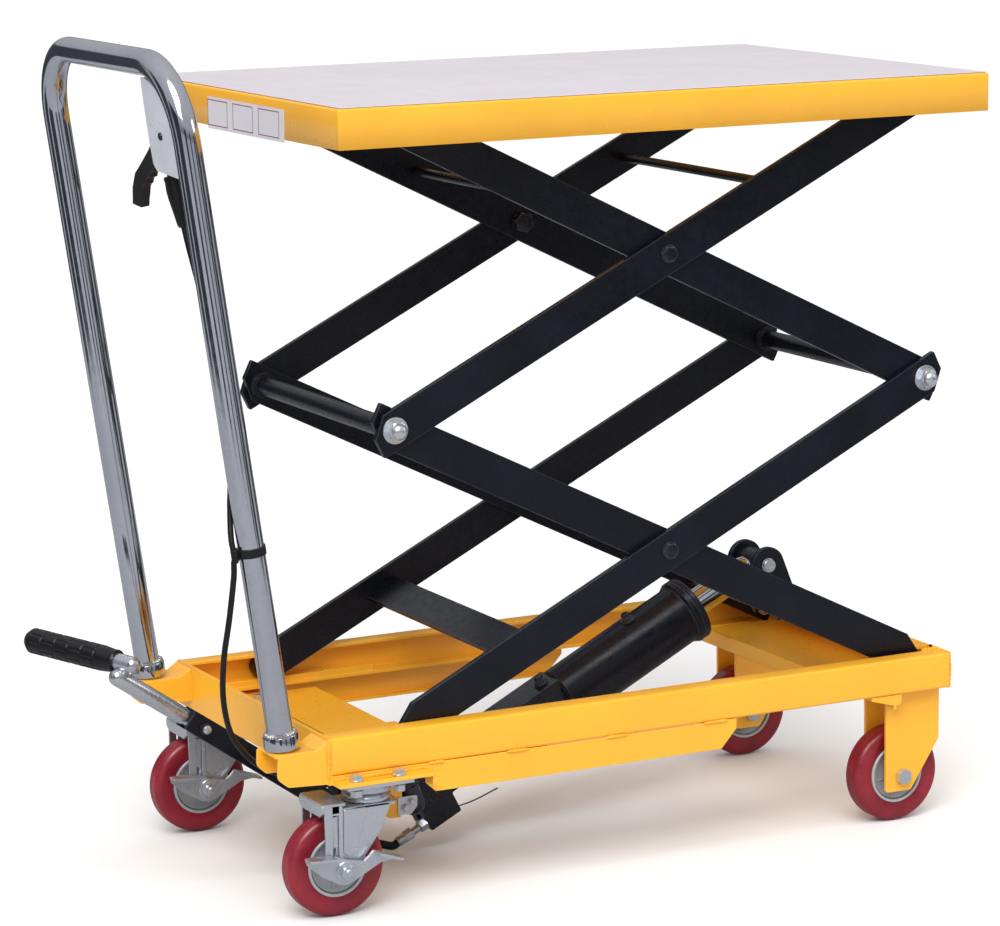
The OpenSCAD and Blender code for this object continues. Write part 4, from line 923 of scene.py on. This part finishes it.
for s in (-1, 1):
    y0, y1 = (-HW, -HW + 4) if s < 0 else (HW - 4, HW)
    b.prism(fillet([(-320.9, RB - 0.3), (-320.9, SK + 12), (-308, SK), (96, SK), (118, SK + 24), (118, RB - 0.3)], [1, 4, 3, 4, 4, 1], 4), y0, y1)
    # small outward ear at the skirt's left end, and the return along its lower edge
    e0, e1 = (-HW - 19, -HW + 1) if s < 0 else (HW - 1, HW + 19)
    b.prism(fillet([(e0, SK + 13), (e1, SK + 13), (e1, RB - 11), (e0, RB - 11)], 3, 3), -320.9, -317.3, "x")
    i0, i1 = (-HW + 3, -HW + 18) if s < 0 else (HW - 18, HW - 3)
    b.prism([(-304, i0), (94, i0), (94, i1), (-304, i1)], SK, SK + 3, "z")
b.make("skirt_plates", "base", "yellow", "yellow_paint", 0.7, 2, replaces=("rail_skirts",))
b = Build()
FX, FY = 381.2, 191.4
for s in (-1, 1):
    for o0 in (-27.0, 22.0):
        y0, y1 = sorted((s * (FY + o0), s * (FY + o0 + 5)))
        b.prism(fillet([(FX - 25, RB - 0.2), (FX - 25, 43), (FX + 14, 43), (FX + 57, 108), (FX + 57, RB - 0.2)], [1, 5, 6, 6, 1], 4), y0, y1)
    y0, y1 = sorted((s * (FY - 22.2), s * (FY + 22.2)))
    b.box((FX - 25, y0, RB - 7), (FX + 57, y1, RB - 0.2))
    # short gusset tab beside the outer plate
    y0, y1 = sorted((s * (FY + 22.5), s * (FY + 44)))
    b.prism(fillet([(y0, RB - 0.2), (y1, RB - 0.2), (y1, RB - 12), (y1 - s * 6 if s > 0 else y1, RB - 20), (y0, RB - 20)], 1.5, 2), FX - 24, FX - 20, "x")
    # folded tab under the rail, ahead of the fork
    b.prism(fillet([(FX - 58, RB - 0.2), (FX - 58, RB - 5), (FX - 24, RB - 14.5), (FX - 15, RB - 14.5), (FX - 12, RB - 9), (FX - 12, RB - 0.2)], [1, 1, 5, 4, 4, 1], 4), *sorted((s * (HW - 15), s * (HW - 2))))
b.make("fixed_wheel_forks", "base", "yellow", "yellow_paint", 0.8, 2, replaces=("front_forks",))
b = Build()
for s in (-1, 1):
    def yy(a, c):
        return sorted((s * a, s * c))
    # an open channel: two cheeks with a rounded lower corner, and a cover that rises to the cross plate
    outer = [(XA - 5.1, 170), (XA - 5.1, RT - 2), (-466, 213), (-516, 213), (-517.5, 184), (-504, 173)]
    b.prism(fillet(outer, [1, 2, 8, 3, 11, 8], 5), *yy(HW - 4, HW))
    inner = [(XA - 5.1, 181), (XA - 5.1, RT - 2), (-466, 213), (-524, 213), (-524.5, 192), (-513, 181)]
    b.prism(fillet(inner, [1, 2, 8, 3, 9, 7], 5), *yy(188.5, 192.5))
    cover = [(XA - 5.1, RT - 2), (-466, 214), (-520, 214), (-520, 210), (-467, 210), (XA - 5.1, RT - 6)]
    b.prism(fillet(cover, [0.5, 6, 1, 1, 5, 0.5], 4), *yy(189, HW - 0.4))
b.make("handle_bracket_folds", "base", "yellow", "yellow_paint", 0.7, 2, replaces=("handle_brackets",))
b = Build()
xm0, xm1 = XB - 164, XB - 5
b.prism(fillet([(xm0, RB + 26), (xm0, RB + 5.2), (xm1, RB + 5.2), (xm1, RB + 9), (xm0 + 3.8, RB + 9), (xm0 + 3.8, RB + 26)], [1, 4, 0.5, 0.5, 2, 1], 3), -186, 186)
b.prism([(XB - 5, RB - 1), (XB, RB - 1), (XB, RT), (XB - 5, RT)], -HW + 4.2, HW - 4.2)
b.prism(fillet([(XB - 42, RT - 4), (XB - 5, RT - 4), (XB - 5, RT), (XB - 42, RT)], 1, 2), -184.8, 184.8)
b.make("front_cross_tray", "base", "yellow", "yellow_paint", 0.8, 2, replaces=("front_beam",))
b = Build()
for s in (-1, 1):
    y_ = s * 237.5
    # skirt to rail
    for a, c in ((-318, -296), (-210, -180), (-70, -40), (70, 104)):
        b.bead((a, y_ + s * 0.4, 178.6), (c, y_ + s * 0.4, 178.6), 2.0)
    # handle bracket to rail end
    b.bead((-451.2, y_ + s * 0.2, 178), (-451.2, y_ + s * 0.2, 221), 2.6)
    b.bead((-446, y_ + s * 0.3, 173.8), (-322, y_ + s * 0.3, 173.8), 2.2)
    # rail to front beam
    b.bead((444, s * 233.0, 184), (444, s * 233.0, 222), 2.4)
    b.bead((442, s * 206, RT - 0.2), (418, s * 206, RT - 0.2), 2.2)
    # front fork to rail
    b.bead((357, s * 219.4, 178.4), (437, s * 219.4, 178.4), 3.2)
    b.bead((XB - 22, s * 224, RT + 0.1), (XB - 3, s * 216, RT + 0.1), 2.6)
    b.bead((XB - 5, s * 232, RT - 0.4), (XB - 5, s * 196, RT - 0.4), 2.4)
    # floor to rail, inside
    b.bead((-446, s * 231.5, 173.6), (-322, s * 231.5, 173.6), 2.2)
    b.bead((-451.2, s * 190.5, 186), (-451.2, s * 190.5, 221), 2.2)
b.make("frame_weld_beads", "base", "weld", "yellow_paint")

# ------------------------------------------------------------------ blank label on the deck's handle-side end
b = Build()
xe = -450.35
b.prism(fillet([(-146, 934.5), (86, 934.5), (86, 974), (-146, 974)], 1.5, 3), xe, xe + 0.5, "x")
b.make("deck_label_blank", "deck", "label", "deck_grey")
b = Build()
for k in range(3):
    c = 55 - 78 * k
    o_ = [(c - 30, 939), (c + 30, 939), (c + 30, 970), (c - 30, 970)]
    for (a, d) in ((0, 1), (1, 2), (2, 3), (3, 0)):
        (y0, z0), (y1, z1) = o_[a], o_[d]
        lo_ = (min(y0, y1) - 0.6, min(z0, z1) - 0.6)
        hi_ = (max(y0, y1) + 0.6, max(z0, z1) + 0.6)
        b.prism([lo_, (hi_[0], lo_[1]), hi_, (lo_[0], hi_[1])], xe - 0.18, xe + 0.1, "x")
b.make("deck_label_frames", "deck", "label_print", "deck_grey")

# ------------------------------------------------------------------ stage, light, camera
def stage():
    me = bpy.data.meshes.new("floor")
    s = 70.0
    me.from_pydata([(-s, -s, -0.0005), (s, -s, -0.0005), (s, s, -0.0005), (-s, s, -0.0005)], [], [(0, 1, 2, 3)])
    o = bpy.data.objects.new("studio_floor", me)
    bpy.context.scene.collection.objects.link(o)
    m = bpy.data.materials.new("studio_floor")
    m.use_nodes = True
    b = m.node_tree.nodes["Principled BSDF"]
    b.inputs["Roughness"].default_value = 0.75
    b.inputs["Specular IOR Level"].default_value = 0.2
    # pale to the camera, calmer in bounced and mirrored light
    fn, fl = m.node_tree.nodes, m.node_tree.links.new
    ray = fn.new("ShaderNodeLightPath")
    col = (0.93, 0.93, 0.93, 1)
    last = None
    for out, c in (("Is Diffuse Ray", (0.74, 0.74, 0.74, 1)), ("Is Glossy Ray", (0.36, 0.365, 0.39, 1))):
        x = fn.new("ShaderNodeMix")
        x.data_type = "RGBA"
        fl(ray.outputs[out], x.inputs[0])
        if last is None:
            x.inputs[6].default_value = col
        else:
            fl(last, x.inputs[6])
        x.inputs[7].default_value = c
        last = x.outputs[2]
    fl(last, b.inputs["Base Color"])
    me.materials.append(m)


stage()
sc = bpy.context.scene
w = bpy.data.worlds.new("studio")
sc.world = w
w.use_nodes = True
wn = w.node_tree.nodes
wl = w.node_tree.links.new
bg = wn["Background"]
tc = wn.new("ShaderNodeTexCoord")
sep = wn.new("ShaderNodeSeparateXYZ")
wl(tc.outputs["Generated"], sep.inputs[0])
rp = wn.new("ShaderNodeValToRGB")
e = rp.color_ramp.elements
e[0].position = 0.0
e[0].color = (0.60, 0.60, 0.61, 1)
e[1].position = 1.0
e[1].color = (1.0, 1.0, 1.0, 1)
x = rp.color_ramp.elements.new(0.48)
x.color = (0.62, 0.63, 0.65, 1)
x = rp.color_ramp.elements.new(0.56)
x.color = (0.92, 0.92, 0.93, 1)
mr = wn.new("ShaderNodeMapRange")
mr.inputs["From Min"].default_value = -1
mr.inputs["From Max"].default_value = 1
wl(sep.outputs["Z"], mr.inputs["Value"])
wl(mr.outputs["Result"], rp.inputs["Fac"])
lp = wn.new("ShaderNodeLightPath")
mx = wn.new("ShaderNodeMix")
mx.data_type = "RGBA"
wl(lp.outputs["Is Camera Ray"], mx.inputs[0])
wl(rp.outputs["Color"], mx.inputs[6])
mx.inputs[7].default_value = (1.22, 1.22, 1.22, 1)
gl = wn.new("ShaderNodeMix")
gl.data_type = "RGBA"
wl(lp.outputs["Is Glossy Ray"], gl.inputs[0])
wl(mx.outputs[2], gl.inputs[6])
gr = wn.new("ShaderNodeValToRGB")
ge = gr.color_ramp.elements
ge[0].position = 0.0
ge[0].color = (0.30, 0.30, 0.32, 1)
ge[1].position = 1.0
ge[1].color = (0.74, 0.75, 0.78, 1)
gx = gr.color_ramp.elements.new(0.52)
gx.color = (0.26, 0.27, 0.30, 1)
gx = gr.color_ramp.elements.new(0.62)
gx.color = (0.56, 0.57, 0.60, 1)
wl(mr.outputs["Result"], gr.inputs["Fac"])
wl(gr.outputs["Color"], gl.inputs[7])
wl(gl.outputs[2], bg.inputs["Color"])
bg.inputs["Strength"].default_value = 0.80
sc.view_settings.view_transform = "Standard"


def area(name, loc, target, size, power, sy=None):
    l = bpy.data.lights.new(name, "AREA")
    l.energy = power
    l.shape = "RECTANGLE"
    l.size = size
    l.size_y = sy or size
    o = bpy.data.objects.new(name, l)
    sc.collection.objects.link(o)
    o.location = loc
    d = Vector(target) - Vector(loc)
    o.rotation_euler = d.to_track_quat("-Z", "Y").to_euler()
    return o


area("key", (-2.4, -3.0, 3.2), (0, 0, 0.6), 1.6, 54)
area("fill", (3.4, -2.4, 2.0), (0, 0, 0.5), 1.2, 16)
sun = bpy.data.lights.new("soft_sun", "SUN")
sun.energy = 1.55
sun.angle = math.radians(38)
so = bpy.data.objects.new("soft_sun", sun)
sc.collection.objects.link(so)
so.rotation_euler = (Vector((0, 0, 0)) - Vector((-1.2, -1.9, 3.2))).to_track_quat("-Z", "Y").to_euler()

# dark cards round the set, seen only in reflections, as in a product studio
cm = bpy.data.materials.new("card")
cm.use_nodes = True
cb = cm.node_tree.nodes["Principled BSDF"]
cb.inputs["Base Color"].default_value = (0.035, 0.04, 0.05, 1)
cb.inputs["Roughness"].default_value = 0.9
for k, (adeg, wd, rad, top_) in enumerate(((-165, 1.2, 2.2, 1.5), (-122, 0.5, 2.4, 1.3), (-92, 0.35, 2.6, 1.3), (-60, 0.5, 2.6, 1.3), (-38, 1.0, 2.6, 1.5), (10, 1.3, 2.4, 1.5), (58, 1.8, 3.0, 1.5), (112, 1.8, 3.0, 1.5), (158, 1.0, 2.2, 1.5))):
    a_ = math.radians(adeg)
    c_k = Vector((math.cos(a_) * rad, math.sin(a_) * rad, 0))
    t_k = Vector((-math.sin(a_), math.cos(a_), 0)) * (wd / 2)
    me = bpy.data.meshes.new(f"card_{k}")
    me.from_pydata([c_k - t_k + Vector((0, 0, 0.02)), c_k + t_k + Vector((0, 0, 0.02)), c_k + t_k + Vector((0, 0, top_)), c_k - t_k + Vector((0, 0, top_))], [], [(0, 1, 2, 3)])
    o = bpy.data.objects.new(f"card_{k}", me)
    sc.collection.objects.link(o)
    me.materials.append(cm)
    o.visible_camera = False
    o.visible_diffuse = False
    o.visible_shadow = False
    o.visible_transmission = False
    o.visible_volume_scatter = False

cam = bpy.data.cameras.new("view")
co_ = bpy.data.objects.new("view", cam)
sc.collection.objects.link(co_)
az, el, roll = math.radians(27.08), math.radians(10.507), math.radians(0.705)
fwd = Vector((math.sin(az) * math.cos(el), math.cos(az) * math.cos(el), -math.sin(el)))
right = Vector((math.cos(az), -math.sin(az), 0))
down = fwd.cross(right)
r2 = math.cos(roll) * right + math.sin(roll) * down
d2 = -math.sin(roll) * right + math.cos(roll) * down
R = Matrix((r2, -d2, -fwd)).transposed()
co_.matrix_world = Matrix.Translation(P((-2241.986, -4201.248, 1366.072))) @ R.to_4x4()
cam.sensor_width = 36
cam.lens = 3735.499 * 36 / 1000
cam.shift_x = (500 - 499.71) / 1000
cam.shift_y = (463.157 - 463) / 1000
cam.clip_end = 60
sc.camera = co_
